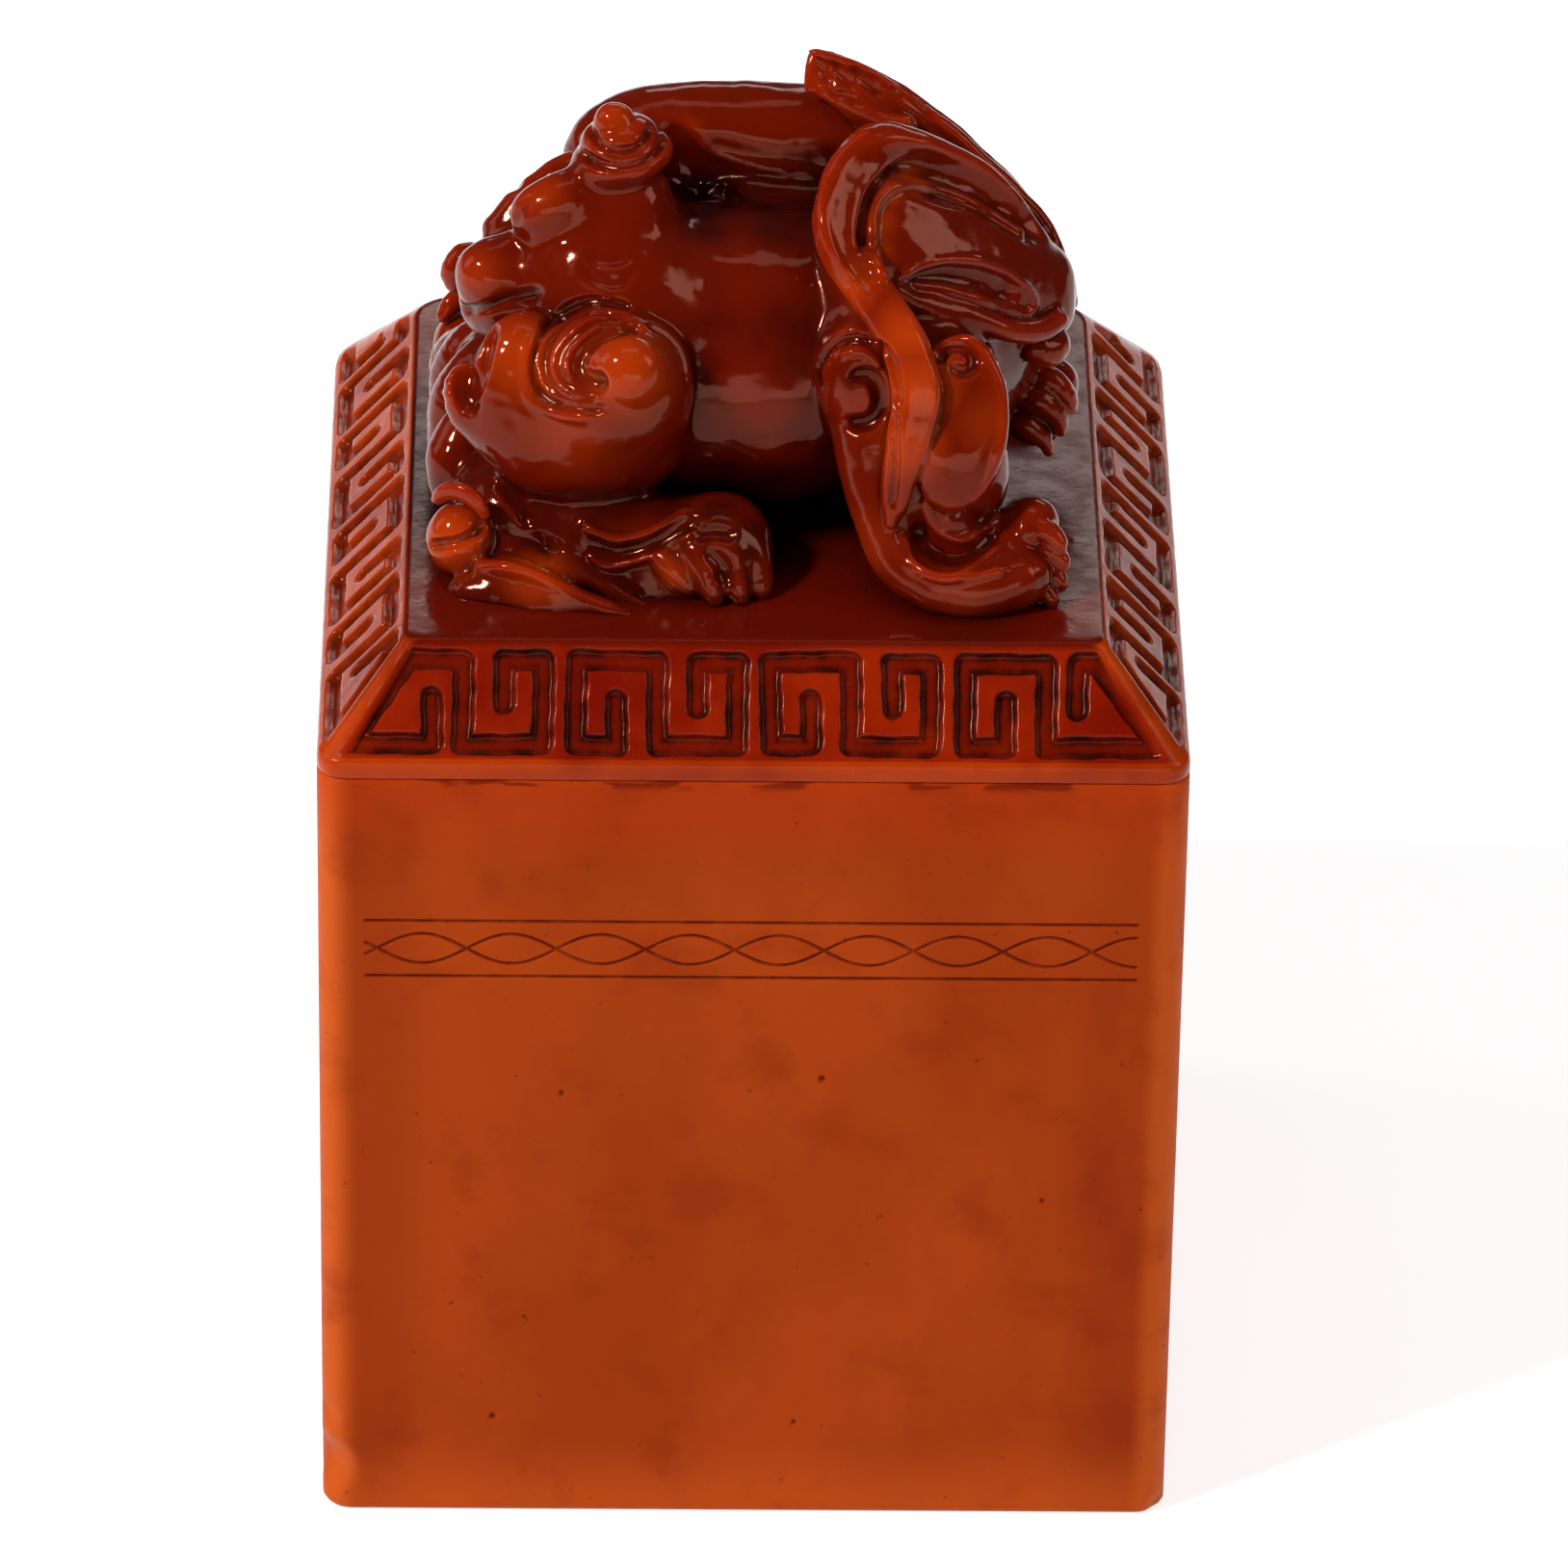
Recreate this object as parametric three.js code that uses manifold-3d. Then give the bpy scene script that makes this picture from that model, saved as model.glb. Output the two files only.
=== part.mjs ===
// A seal stamp with a beast knob: a square seal block, a chamfered shoulder cap bordered by a meander
// fret, and a crouching guardian beast carved in the round as the handle.
// Millimetres, +Z up. The origin is the middle of the seal face, and the front faces -Y.
import * as THREE from "three";
import { mergeVertices } from "three/addons/utils/BufferGeometryUtils.js";
import Module from "manifold-3d";

const wasm = await Module();
wasm.setup();

// Driving dimensions: the seal block
const BLOCK_SIDE = 50;
const BLOCK_HEIGHT = 51;
const CORNER_RADIUS = 1.6;
const FOOT_BEVEL = 0.5;

// Driving dimensions: the shoulder cap
const CAP_LIP = 1;
const CHAMFER_RUN = 5;
const CHAMFER_RISE = 5.5;
const PLATEAU_CORNER = 0.8;

// Driving dimensions: the bonded joints, each a tenon in a mortise with room for glue
const CAP_TENON_SIDE = 22;
const CAP_TENON_DEPTH = 4;
const KNOB_TENON_RADIUS = 5;
const KNOB_TENON_DEPTH = 3;
const GLUE_GAP = 0.3;

// Driving dimensions: the beast, from its breast to its hind toes
const KNOB_LENGTH = 37;

// Driving dimensions: the meander fret on the cap's four slopes
const FRET_COUNT = 4;
const FRET_PERIOD = 11.1;
const FRET_STROKE_PITCH = 2.3;
const FRET_GROOVE_WIDTH = 1.2;
const FRET_GROOVE_DEPTH = 0.6;
const FRET_EDGE_MARGIN = 0.65;
const FRET_ARRIS_MARGIN = 1.15;
const FRET_SLOT_OVERLAP = 1.7;

// Driving dimensions: the twist band cut across the front of the block
const BAND_HEIGHT = 39.6;
const BAND_LENGTH = 44.4;
const BAND_RAIL_SPACING = 3.75;
const BAND_WAVE_LENGTH = 10.3;
const BAND_WAVE_HEIGHT = 1;
const BAND_CUT_WIDTH = 0.3;

// Colours and finish of the three materials
const SATIN_AMBER = { color: 0xaa4114, roughness: 0.45, metalness: 0 };
const GLOSSY_CAP = { color: 0x7c2008, roughness: 0.2, metalness: 0 };
const GLOSSY_BEAST = { color: 0x6e1705, roughness: 0.14, metalness: 0 };

// Heights that follow from the sizes above
const SHOULDER_Z = BLOCK_HEIGHT + CAP_LIP;
const PLATEAU_Z = SHOULDER_Z + CHAMFER_RISE;
const PLATEAU_SIDE = BLOCK_SIDE - 2 * CHAMFER_RUN;

const at = (x, y, z) => new THREE.Vector3(x, y, z);

// A closed geometry as a solid for joining and cutting.
function solid(geometry, matrix = new THREE.Matrix4()) {
  const bare = new THREE.BufferGeometry();
  bare.setAttribute("position", geometry.getAttribute("position").clone());
  bare.setIndex(geometry.index);
  bare.applyMatrix4(matrix);
  const merged = mergeVertices(bare, 1e-4);
  const vertProperties = new Float32Array(merged.attributes.position.array);
  const triVerts = new Uint32Array(merged.index.array);
  return new wasm.Manifold(new wasm.Mesh({ numProp: 3, vertProperties, triVerts }));
}

// A solid as a named mesh with its own material.
function meshOf(name, body, finish) {
  const { vertProperties, triVerts } = body.getMesh();
  const geometry = new THREE.BufferGeometry();
  geometry.setAttribute("position", new THREE.BufferAttribute(vertProperties, 3));
  geometry.setIndex(new THREE.BufferAttribute(triVerts, 1));
  geometry.computeVertexNormals();
  const mesh = new THREE.Mesh(geometry, new THREE.MeshStandardMaterial(finish));
  mesh.name = name;
  return mesh;
}

// A square with rounded corners, centred on the axis.
function roundedSquare(side, radius) {
  const half = side / 2;
  const shape = new THREE.Shape();
  shape.moveTo(half, half - radius);
  shape.absarc(half - radius, half - radius, radius, 0, Math.PI / 2);
  shape.absarc(-half + radius, half - radius, radius, Math.PI / 2, Math.PI);
  shape.absarc(-half + radius, -half + radius, radius, Math.PI, 1.5 * Math.PI);
  shape.absarc(half - radius, -half + radius, radius, 1.5 * Math.PI, 2 * Math.PI);
  return shape;
}

// Rings of points, each with the same count, closed over to a solid skin.
function loft(rings) {
  const count = rings[0].length;
  const positions = [];
  const index = [];
  rings.forEach((ring) => ring.forEach((p) => positions.push(p.x, p.y, p.z)));
  for (let i = 0; i + 1 < rings.length; i++) {
    for (let j = 0; j < count; j++) {
      const a = i * count + j;
      const b = i * count + ((j + 1) % count);
      index.push(a, b, b + count, a, b + count, a + count);
    }
  }
  for (const [ring, turn] of [[0, false], [rings.length - 1, true]]) {
    const middle = new THREE.Vector3();
    rings[ring].forEach((p) => middle.addScaledVector(p, 1 / count));
    const pole = positions.length / 3;
    positions.push(middle.x, middle.y, middle.z);
    for (let j = 0; j < count; j++) {
      const a = ring * count + j;
      const b = ring * count + ((j + 1) % count);
      index.push(...(turn ? [a, b, pole] : [b, a, pole]));
    }
  }
  const geometry = new THREE.BufferGeometry();
  geometry.setAttribute("position", new THREE.Float32BufferAttribute(positions, 3));
  geometry.setIndex(index);
  return geometry;
}

// A limb, ridge or blade: an oval section carried along a smooth curve through the stations, with round
// ends. A station is [x, y, z, half width, half thickness]. The width lies along the facing vector's
// part square to the curve.
function sweep(stations, { facing = at(0, 0, 1), sides = 6, steps = 6 } = {}) {
  const curve = new THREE.CatmullRomCurve3(stations.map(([x, y, z]) => at(x, y, z)));
  const sizes = new THREE.CatmullRomCurve3(stations.map(([, , , a, b = a]) => at(a, b, 0)));
  const ends = [curve.getPoint(0), curve.getPoint(1)];
  const rings = [];
  for (let i = 0; i <= steps; i++) {
    const t = 0.5 - 0.5 * Math.cos((Math.PI * (i + 0.35)) / (steps + 0.7));
    const centre = curve.getPoint(t);
    const along = curve.getTangent(t);
    const size = sizes.getPoint(t);
    const nearest = Math.min(centre.distanceTo(ends[0]), centre.distanceTo(ends[1]));
    const cap = Math.min(nearest / Math.max(size.y, 0.05), 1);
    const round = Math.sqrt(1 - (1 - cap) ** 2);
    const across = facing.clone().addScaledVector(along, -facing.dot(along)).normalize();
    const over = along.clone().cross(across);
    const ring = [];
    for (let j = 0; j < sides; j++) {
      const angle = (2 * Math.PI * j) / sides;
      const point = centre.clone();
      point.addScaledVector(across, size.x * round * Math.cos(angle));
      point.addScaledVector(over, size.y * round * Math.sin(angle));
      ring.push(point);
    }
    rings.push(ring);
  }
  return solid(loft(rings));
}

const join = (pieces) => pieces.reduce((whole, piece) => whole.add(piece));

// Seal block: a column with rounded corners, a bevelled foot and a mortise in its top
function sealBlock() {
  const bevel = { bevelThickness: FOOT_BEVEL, bevelSize: FOOT_BEVEL, bevelSegments: 2 };
  const outline = roundedSquare(BLOCK_SIDE - 2 * FOOT_BEVEL, CORNER_RADIUS - FOOT_BEVEL);
  const column = solid(
    new THREE.ExtrudeGeometry(outline, { depth: BLOCK_HEIGHT, curveSegments: 6, ...bevel }),
    new THREE.Matrix4().makeTranslation(0, 0, FOOT_BEVEL),
  );
  const above = new THREE.BoxGeometry(2 * BLOCK_SIDE, 2 * BLOCK_SIDE, BLOCK_SIDE);
  above.translate(0, 0, BLOCK_HEIGHT + BLOCK_SIDE / 2);
  const mortiseSide = CAP_TENON_SIDE + 2 * GLUE_GAP;
  const mortiseDepth = CAP_TENON_DEPTH + GLUE_GAP;
  const mortise = new THREE.BoxGeometry(mortiseSide, mortiseSide, 2 * mortiseDepth);
  mortise.translate(0, 0, BLOCK_HEIGHT);
  return twistBand().reduce(
    (body, cut) => body.subtract(cut),
    column.subtract(solid(above)).subtract(solid(mortise)),
  );
}

// Twist band: two straight cuts with two waves crossing between them, as V grooves
function twistBand() {
  const face = -BLOCK_SIDE / 2;
  const cuts = [];
  const section = { facing: at(0, 1, 0), sides: 4 };
  const station = (x, z) => [x, face, z, BAND_CUT_WIDTH / 2];
  for (const side of [-1, 1]) {
    const z = BAND_HEIGHT + (side * BAND_RAIL_SPACING) / 2;
    const rail = [-0.5, -0.25, 0, 0.25, 0.5].map((part) => station(part * BAND_LENGTH, z));
    cuts.push(sweep(rail, { ...section, steps: 4 }));
    const points = [];
    const count = Math.round((8 * BAND_LENGTH) / BAND_WAVE_LENGTH);
    for (let i = 0; i <= count; i++) {
      const x = BAND_LENGTH * (i / count - 0.5);
      const phase = (2 * Math.PI * (x + BAND_LENGTH / 2)) / BAND_WAVE_LENGTH - 0.4;
      points.push(station(x, BAND_HEIGHT + side * BAND_WAVE_HEIGHT * Math.sin(phase)));
    }
    cuts.push(sweep(points, { ...section, steps: count }));
  }
  return cuts;
}

// Shoulder cap: a square lip, four slopes up to the plateau, a tenon below and a mortise above
function shoulderCap() {
  const ring = (side, radius, z) => {
    const points = roundedSquare(side, radius).extractPoints(4).shape;
    const distinct = points.filter((p, i) => p.distanceTo(points.at(i - 1)) > 1e-6);
    return distinct.map((p) => at(p.x, p.y, z));
  };
  const body = solid(
    loft([
      ring(BLOCK_SIDE, CORNER_RADIUS, BLOCK_HEIGHT),
      ring(BLOCK_SIDE, CORNER_RADIUS, SHOULDER_Z),
      ring(PLATEAU_SIDE, PLATEAU_CORNER, PLATEAU_Z),
    ]),
  );
  const tenon = new THREE.BoxGeometry(CAP_TENON_SIDE, CAP_TENON_SIDE, 2 * CAP_TENON_DEPTH);
  tenon.translate(0, 0, BLOCK_HEIGHT);
  const mortiseRadius = KNOB_TENON_RADIUS + GLUE_GAP;
  const mortiseDepth = KNOB_TENON_DEPTH + GLUE_GAP;
  const mortise = new THREE.CylinderGeometry(mortiseRadius, mortiseRadius, 2 * mortiseDepth, 32);
  mortise.rotateX(Math.PI / 2);
  mortise.translate(0, 0, PLATEAU_Z);
  return fretCutters().reduce(
    (cap, cutter) => cap.subtract(cutter),
    body.add(solid(tenon)).subtract(solid(mortise)),
  );
}

// The outline of a groove of even width along a path of corners, with round dead ends.
function grooveOutline(path, halfWidth) {
  const normals = path.slice(1).map((p, i) => {
    const along = p.clone().sub(path[i]).normalize();
    return new THREE.Vector2(-along.y, along.x);
  });
  const offset = (i, side) => {
    const before = normals[Math.max(i - 1, 0)];
    const after = normals[Math.min(i, normals.length - 1)];
    const mitre = before.clone().add(after).normalize();
    return path[i].clone().addScaledVector(mitre, (side * halfWidth) / mitre.dot(after));
  };
  const deadEnd = (i, normal) => {
    const points = [];
    for (let k = 1; k < 5; k++) {
      const turned = normal.clone().rotateAround(new THREE.Vector2(), (-Math.PI * k) / 5);
      points.push(path[i].clone().addScaledVector(turned, halfWidth));
    }
    return points;
  };
  const last = path.length - 1;
  const left = path.map((_, i) => offset(i, 1));
  const right = path.map((_, i) => offset(i, -1)).reverse();
  const farEnd = deadEnd(last, normals[last - 1]);
  const nearEnd = deadEnd(0, normals[0].clone().negate());
  return new THREE.Shape([...left, ...farEnd, ...right, ...nearEnd]);
}

// Meander fret: a row of S-shaped grooves on each slope. The two end strokes lean with the arrises.
function fretCutters() {
  const slope = Math.hypot(CHAMFER_RUN, CHAMFER_RISE);
  const low = FRET_EDGE_MARGIN + FRET_GROOVE_WIDTH / 2;
  const high = slope - low;
  const middle = (low + high) / 2;
  const arris = (v) => BLOCK_SIDE / 2 - (CHAMFER_RUN * v) / slope - FRET_ARRIS_MARGIN;
  const row = [];
  for (let i = 0; i < FRET_COUNT; i++) {
    const centre = (i - (FRET_COUNT - 1) / 2) * FRET_PERIOD;
    const reach = 2 * FRET_STROKE_PITCH;
    const first = i === 0 ? (v) => -arris(v) : () => centre - reach;
    const last = i === FRET_COUNT - 1 ? arris : () => centre + reach;
    const slotLow = Math.max(centre - FRET_STROKE_PITCH, first(high) + FRET_GROOVE_WIDTH);
    const slotHigh = Math.min(centre + FRET_STROKE_PITCH, last(high) - FRET_GROOVE_WIDTH);
    const path = [
      [slotLow, middle + FRET_SLOT_OVERLAP / 2 - FRET_GROOVE_WIDTH / 2],
      [slotLow, low],
      [first(low), low],
      [first(high), high],
      [centre, high],
      [centre, low],
      [last(low), low],
      [last(high), high],
      [slotHigh, high],
      [slotHigh, middle - FRET_SLOT_OVERLAP / 2 + FRET_GROOVE_WIDTH / 2],
    ];
    row.push(grooveOutline(path.map(([u, v]) => new THREE.Vector2(u, v)), FRET_GROOVE_WIDTH / 2));
  }
  const cutters = [];
  for (let side = 0; side < 4; side++) {
    const along = at(1, 0, 0);
    const up = at(0, CHAMFER_RUN, CHAMFER_RISE).normalize();
    const out = along.clone().cross(up);
    const place = new THREE.Matrix4().makeBasis(along, up, out);
    place.setPosition(at(0, -BLOCK_SIDE / 2, SHOULDER_Z).addScaledVector(out, -FRET_GROOVE_DEPTH));
    place.premultiply(new THREE.Matrix4().makeRotationZ((side * Math.PI) / 2));
    for (const outline of row) {
      const groove = { depth: 2 * FRET_GROOVE_DEPTH, bevelEnabled: false };
      cutters.push(solid(new THREE.ExtrudeGeometry(outline, groove), place));
    }
  }
  return cutters;
}

// The beast is modelled about the middle of the plateau: X from its head at the left to its tail at the
// right, Y from its near flank to its far flank, Z up from its base. Its forms are given for a beast of
// the drawn length and grow with the knob's length.
const DRAWN_LENGTH = 37;
const SPINE_Y = -1;
const FAR_SHOULDER = [1.6, -2.4];
const grown = (sizes) => sizes.map((size) => (size * KNOB_LENGTH) / DRAWN_LENGTH);
const ALONG_X = at(1, 0, 0);

// A limb, ridge or blade of the beast
const limb = (stations, options) => sweep(stations.map(grown), options);

// A swelling form: an ellipsoid with its own radii, tilted by angles in degrees about X, Y and Z.
function swell(centre, radii, tilt = [0, 0, 0], around = 10, rows = 7) {
  const turn = tilt.map(THREE.MathUtils.degToRad);
  const matrix = new THREE.Matrix4().compose(
    at(...grown(centre)),
    new THREE.Quaternion().setFromEuler(new THREE.Euler(...turn)),
    at(...grown(radii)),
  );
  return solid(new THREE.SphereGeometry(1, around, rows), matrix);
}

// A scroll curl: a ridge that winds in towards the middle of a disc and climbs along its axis.
function scroll(centre, axis, { outer, inner, turns, start = 0, climb = 0, radius = 0.45, spin = 1 }) {
  const pole = axis.clone().normalize();
  const side = ALONG_X.clone().addScaledVector(pole, -pole.x).normalize();
  const other = pole.clone().cross(side);
  const stations = [];
  const count = Math.ceil(turns * 6);
  for (let i = 0; i <= count; i++) {
    const part = i / count;
    const reach = outer + (inner - outer) * part;
    const angle = start + spin * 2 * Math.PI * turns * part;
    const point = centre.clone().addScaledVector(pole, climb * part);
    point.addScaledVector(side, reach * Math.cos(angle));
    point.addScaledVector(other, reach * Math.sin(angle));
    stations.push([point.x, point.y, point.z, radius * (1 - 0.25 * part)]);
  }
  return limb(stations, { facing: pole, sides: 5, steps: Math.round(count * 1.1) });
}

// Near and far limbs are mirror twins about the spine. The far twin may stand along and up from its place.
const twin = ([x, y, z, ...rest], [along, up]) => [x + along, 2 * SPINE_Y - y, z + up, ...rest];

function pair(stations, options = {}, shift = [0, 0]) {
  return [limb(stations, options), limb(stations.map((station) => twin(station, shift)), options)];
}

function swellPair(centre, radii, { tilt = [0, 0, 0], around = 10, rows = 7, shift = [0, 0] } = {}) {
  const [tiltX, tiltY, tiltZ] = tilt;
  return [
    swell(centre, radii, tilt, around, rows),
    swell(twin(centre, shift), radii, [-tiltX, tiltY, -tiltZ], around, rows),
  ];
}

// Trunk: belly, near flank, far flank, and the roll along the back over the far flank
function trunk() {
  return [
    swell([-0.5, -0.6, 8.4], [13.4, 10.4, 9], [0, 0, 0], 16, 9),
    limb([[-9, -3.6, 13, 4.2], [-3, -3.4, 14.5, 4.5], [3, -3.4, 14.4, 4.5], [9.5, -3.4, 13, 3.9]]),
    swell([0.5, 6.2, 11.6], [11.6, 5, 9.2], [0, 0, 0], 12, 8),
    limb([[-9.4, 4.6, 16.2, 2.6], [-8.1, 5, 18, 3.2], [-5.3, 5.2, 19, 3.3], [-0.8, 5.3, 19.2, 3.2],
      [3.7, 5.2, 19, 3.2], [8.2, 4.8, 17.8, 3]], { steps: 9 }),
  ];
}

// Head: neck, skull, muzzle, jaw, brows, nostrils and the two coiled ears
function head() {
  const ear = (x, y, z, lean) => [
    swell([x + 0.2, y, z - 1.5], [2.5, 2.4, 2], [0, 0, 0], 10, 6),
    limb([[x + 0.6, y - 0.6, z - 6, 2.2], [x + 0.3, y - 0.2, z - 1.2, 2]], { steps: 3 }),
    swell([x, y, z], [3, 2.8, 1.4], [lean < 0 ? -8 : 8, -14, 0], 12, 6),
    scroll(at(x, y, z + 0.35), at(-0.25, lean, 0.9), { outer: 2.35, inner: 1, turns: 1.7, start: 2.4,
      climb: 0.9, radius: 0.55 }),
    swell([x - 0.3, y + 0.6 * lean, z + 1.35], [1.2, 1.15, 1.2], [0, 0, 0], 8, 6),
  ];
  return [
    swell([-7.4, -3.4, 12.6], [6.4, 6.8, 6.2]),
    swell([-9.8, -2.8, 14.8], [5.3, 5.3, 4.7], [0, -28, 0]),
    limb([[-10, -2.8, 14.2, 4.3], [-13.2, -3, 13.2, 3.7], [-16, -3, 12, 2.4]]),
    limb([[-10.5, -3.4, 10, 3.4], [-13.2, -3.6, 9, 2.8], [-15.2, -3.4, 8.6, 1.9]], { steps: 6 }),
    limb([[-9.7, 1.6, 19.1, 1.2], [-12.3, 1, 17.8, 1.2], [-14.4, 0.2, 16, 1.15], [-15.2, -0.8, 14, 1]],
      { sides: 6, steps: 6 }),
    limb([[-9.6, -3.4, 20.4, 1.7], [-11.4, -4.2, 19.9, 2.2], [-12.9, -4.8, 18.7, 1.8]], { steps: 6 }),
    limb([[-15, -4.4, 16.3, 1.7], [-15.8, -4.9, 15.4, 2], [-16.2, -4.9, 14.3, 1.5]], { steps: 6 }),
    limb([[-15.2, -1.2, 14, 1.3], [-16.9, -1, 13.6, 1.2], [-17.1, -1.4, 12.4, 1]], { sides: 6, steps: 5 }),
    ...ear(-7.9, -2.2, 22.6, -0.25),
    ...ear(-6.6, 7, 17.2, 0.4),
  ];
}

// Chest: the breast at the left edge of the plateau, with four locks of mane down it
function chest() {
  const locks = [[-5.2, -0.5, 7], [-1.8, -0.2, 8.4], [1.8, 0.3, 8.4], [5, 0.6, 6.6]].map(([y, lean, top]) =>
    limb([[-15.6, 0.7 * y, top, 1.1], [-16.9, y, top - 3, 1.9], [-17.1, y + lean, 2.6, 1.9],
      [-17.3, y + 1.6 * lean, 0.6, 1.5]], { sides: 6, steps: 4 }));
  return [
    swell([-14.6, -0.6, 3.4], [3.5, 6.2, 6.3], [0, 0, 4], 10, 7),
    ...swellPair([-13.6, -8.4, 2.2], [3.9, 4.1, 3.3], { around: 9, rows: 6 }),
    ...locks,
  ];
}

// Curved front claws of the forepaw, and front toes of the hind foot
const CLAWS = [
  [[-5.2, -13.8, 2.8, 1.3], [-4.8, -14.9, 1.9, 1.5], [-4.2, -15.7, 1, 1], [-3.3, -16.4, 0.2, 0.3]],
  [[-2.7, -14.2, 2.7, 1.3], [-2.2, -15.2, 1.8, 1.3], [-1.8, -16, 0.9, 0.9], [-1.4, -16.6, 0.2, 0.3]],
  [[-1, -13.8, 2.9, 1.2], [-0.4, -14.8, 1.9, 1.2], [-0.1, -15.5, 1, 0.9], [0.1, -16.1, 0.2, 0.3]],
];
const TOES = [
  [[15.9, -13.4, 3.7, 0.9], [16.9, -13.8, 3.3, 0.8], [17.5, -14.2, 2.8, 0.6], [17.7, -14.4, 2, 0.3]],
  [[16, -13.4, 2.4, 0.9], [17, -13.8, 2, 0.8], [17.7, -14.2, 1.5, 0.6], [17.8, -14.4, 0.7, 0.3]],
  [[15.6, -13.8, 1, 0.9], [16.6, -14.2, 0.8, 0.8], [17.3, -14.6, 0.5, 0.6], [17.5, -14.8, 0.2, 0.3]],
];

// Forelegs: shoulder ball, upper arm with its hooked lobe, folded forearm, and paw with three claws
function forelegs() {
  const shift = FAR_SHOULDER;
  const claw = { sides: 5, steps: 3 };
  return [
    ...swellPair([-8.2, -10.2, 11], [4.7, 4.3, 4.8], { around: 12, rows: 8, shift }),
    ...swellPair([-10.7, -9.9, 9.1], [6.1, 3.8, 4.4], { tilt: [0, 6, 0], shift }),
    ...pair([[-13, -8, 13.9, 1.8, 1.7], [-13.4, -9.4, 12.8, 2.4, 2], [-13.8, -10, 10.6, 2.8, 2.2],
      [-13.2, -10.4, 9.2, 2.7, 2.3]], { facing: ALONG_X, steps: 6 }, shift),
    ...pair([[-16.4, -8.9, 11.3, 0.9, 0.8], [-16.9, -9.2, 10.3, 1.1], [-16.4, -9.6, 9, 1.3, 1.5],
      [-14.3, -10.2, 8.7, 2.1, 2.3], [-10.8, -10.6, 8.8, 3, 3.4]], { facing: at(0, 1, 0), steps: 8 }, shift),
    ...pair([[-12.3, -9.6, 2.9, 2.8], [-9.6, -11.2, 2.6, 3.1], [-6.3, -12.2, 2.4, 2.9],
      [-3, -12.6, 2.5, 2.8]], { sides: 7 }),
    ...swellPair([-1.8, -12.6, 2.3], [2.9, 3.4, 3.3], { around: 9, rows: 6 }),
    ...pair([[-10.7, -12.6, 0.2, 1.6, 1.4], [-6.8, -13.8, 0, 1.9, 1.5], [-2.4, -14.4, 0, 2, 1.5],
      [0, -13.8, 0, 1.5, 1.4]], { sides: 6, steps: 5 }),
    ...CLAWS.flatMap((stations) => pair(stations, claw)),
  ];
}

// Hind legs: haunch, hip, broad shank, long foot with its sole, the raised side toe and three front toes
function hindlegs() {
  return [
    ...swellPair([9.6, -7, 8.6], [4.5, 4.7, 6.7]),
    ...swellPair([6.2, -8.8, 11], [3.2, 3.8, 4.4], { around: 9, rows: 6 }),
    ...pair([[6.2, -9.8, 10, 2.6, 2.6], [7.3, -11.4, 6.6, 3, 2.6], [9.2, -13.2, 3.8, 3.3, 2.5],
      [12.2, -14.4, 2.2, 2.7, 2.4], [15.2, -14.2, 2, 2.2, 2.3]], { sides: 7, steps: 7 }),
    ...swellPair([11.2, -11, 5.6], [3.6, 3.2, 4.4], { tilt: [0, 15, 0], around: 9, rows: 6 }),
    ...pair([[8.4, -14.9, 0.8, 0.7], [11.2, -15.6, 0, 1.1, 1], [15.5, -15.1, 0.2, 1.1, 1],
      [16.2, -14.6, 0.8, 0.8]], { sides: 6, steps: 5 }),
    ...pair([[14.3, -13, 1.7, 1.7, 1.9], [15.9, -12.6, 3.4, 1.8, 1.9], [16.6, -12, 3.7, 1.3, 1.5]],
      { steps: 5 }),
    ...TOES.flatMap((stations) => pair(stations, { sides: 5, steps: 3 })),
  ];
}

// Flame locks on the hind leg: a ribbon that runs down from the tail, and the leaf lobe beside it
function flameLocks() {
  const lock = { facing: ALONG_X, steps: 8 };
  return [
    ...pair([[5.2, -7.6, 18.5, 1.1, 0.8], [6.4, -9.4, 17.1, 1.2, 0.9], [7.7, -10.8, 15.7, 1.2, 1],
      [8.9, -12.1, 13.9, 1.4, 1.1], [9.2, -13.1, 11.9, 1.4, 1.1], [8.8, -13.9, 9.5, 1.2, 1],
      [8.1, -14.6, 7.1, 0.9, 0.9], [7.8, -15.2, 4.9, 0.4, 0.5]], { ...lock, sides: 6, steps: 10 }),
    ...pair([[11.2, -10.2, 14, 1.5, 1.3], [11.9, -11.1, 12.7, 2.2, 1.6], [12.1, -12.3, 10.6, 2.4, 1.7],
      [11.8, -13.5, 8.2, 2.3, 1.6], [11.1, -14.4, 5.8, 1, 1]], lock),
    ...pair([[9.6, -11, 11.3, 1.2], [9.8, -12, 9.3, 1.5], [9.6, -12.8, 7.2, 1.6], [9.2, -13.4, 5, 1.2]],
      { ...lock, sides: 6, steps: 5 }),
  ];
}

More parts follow.
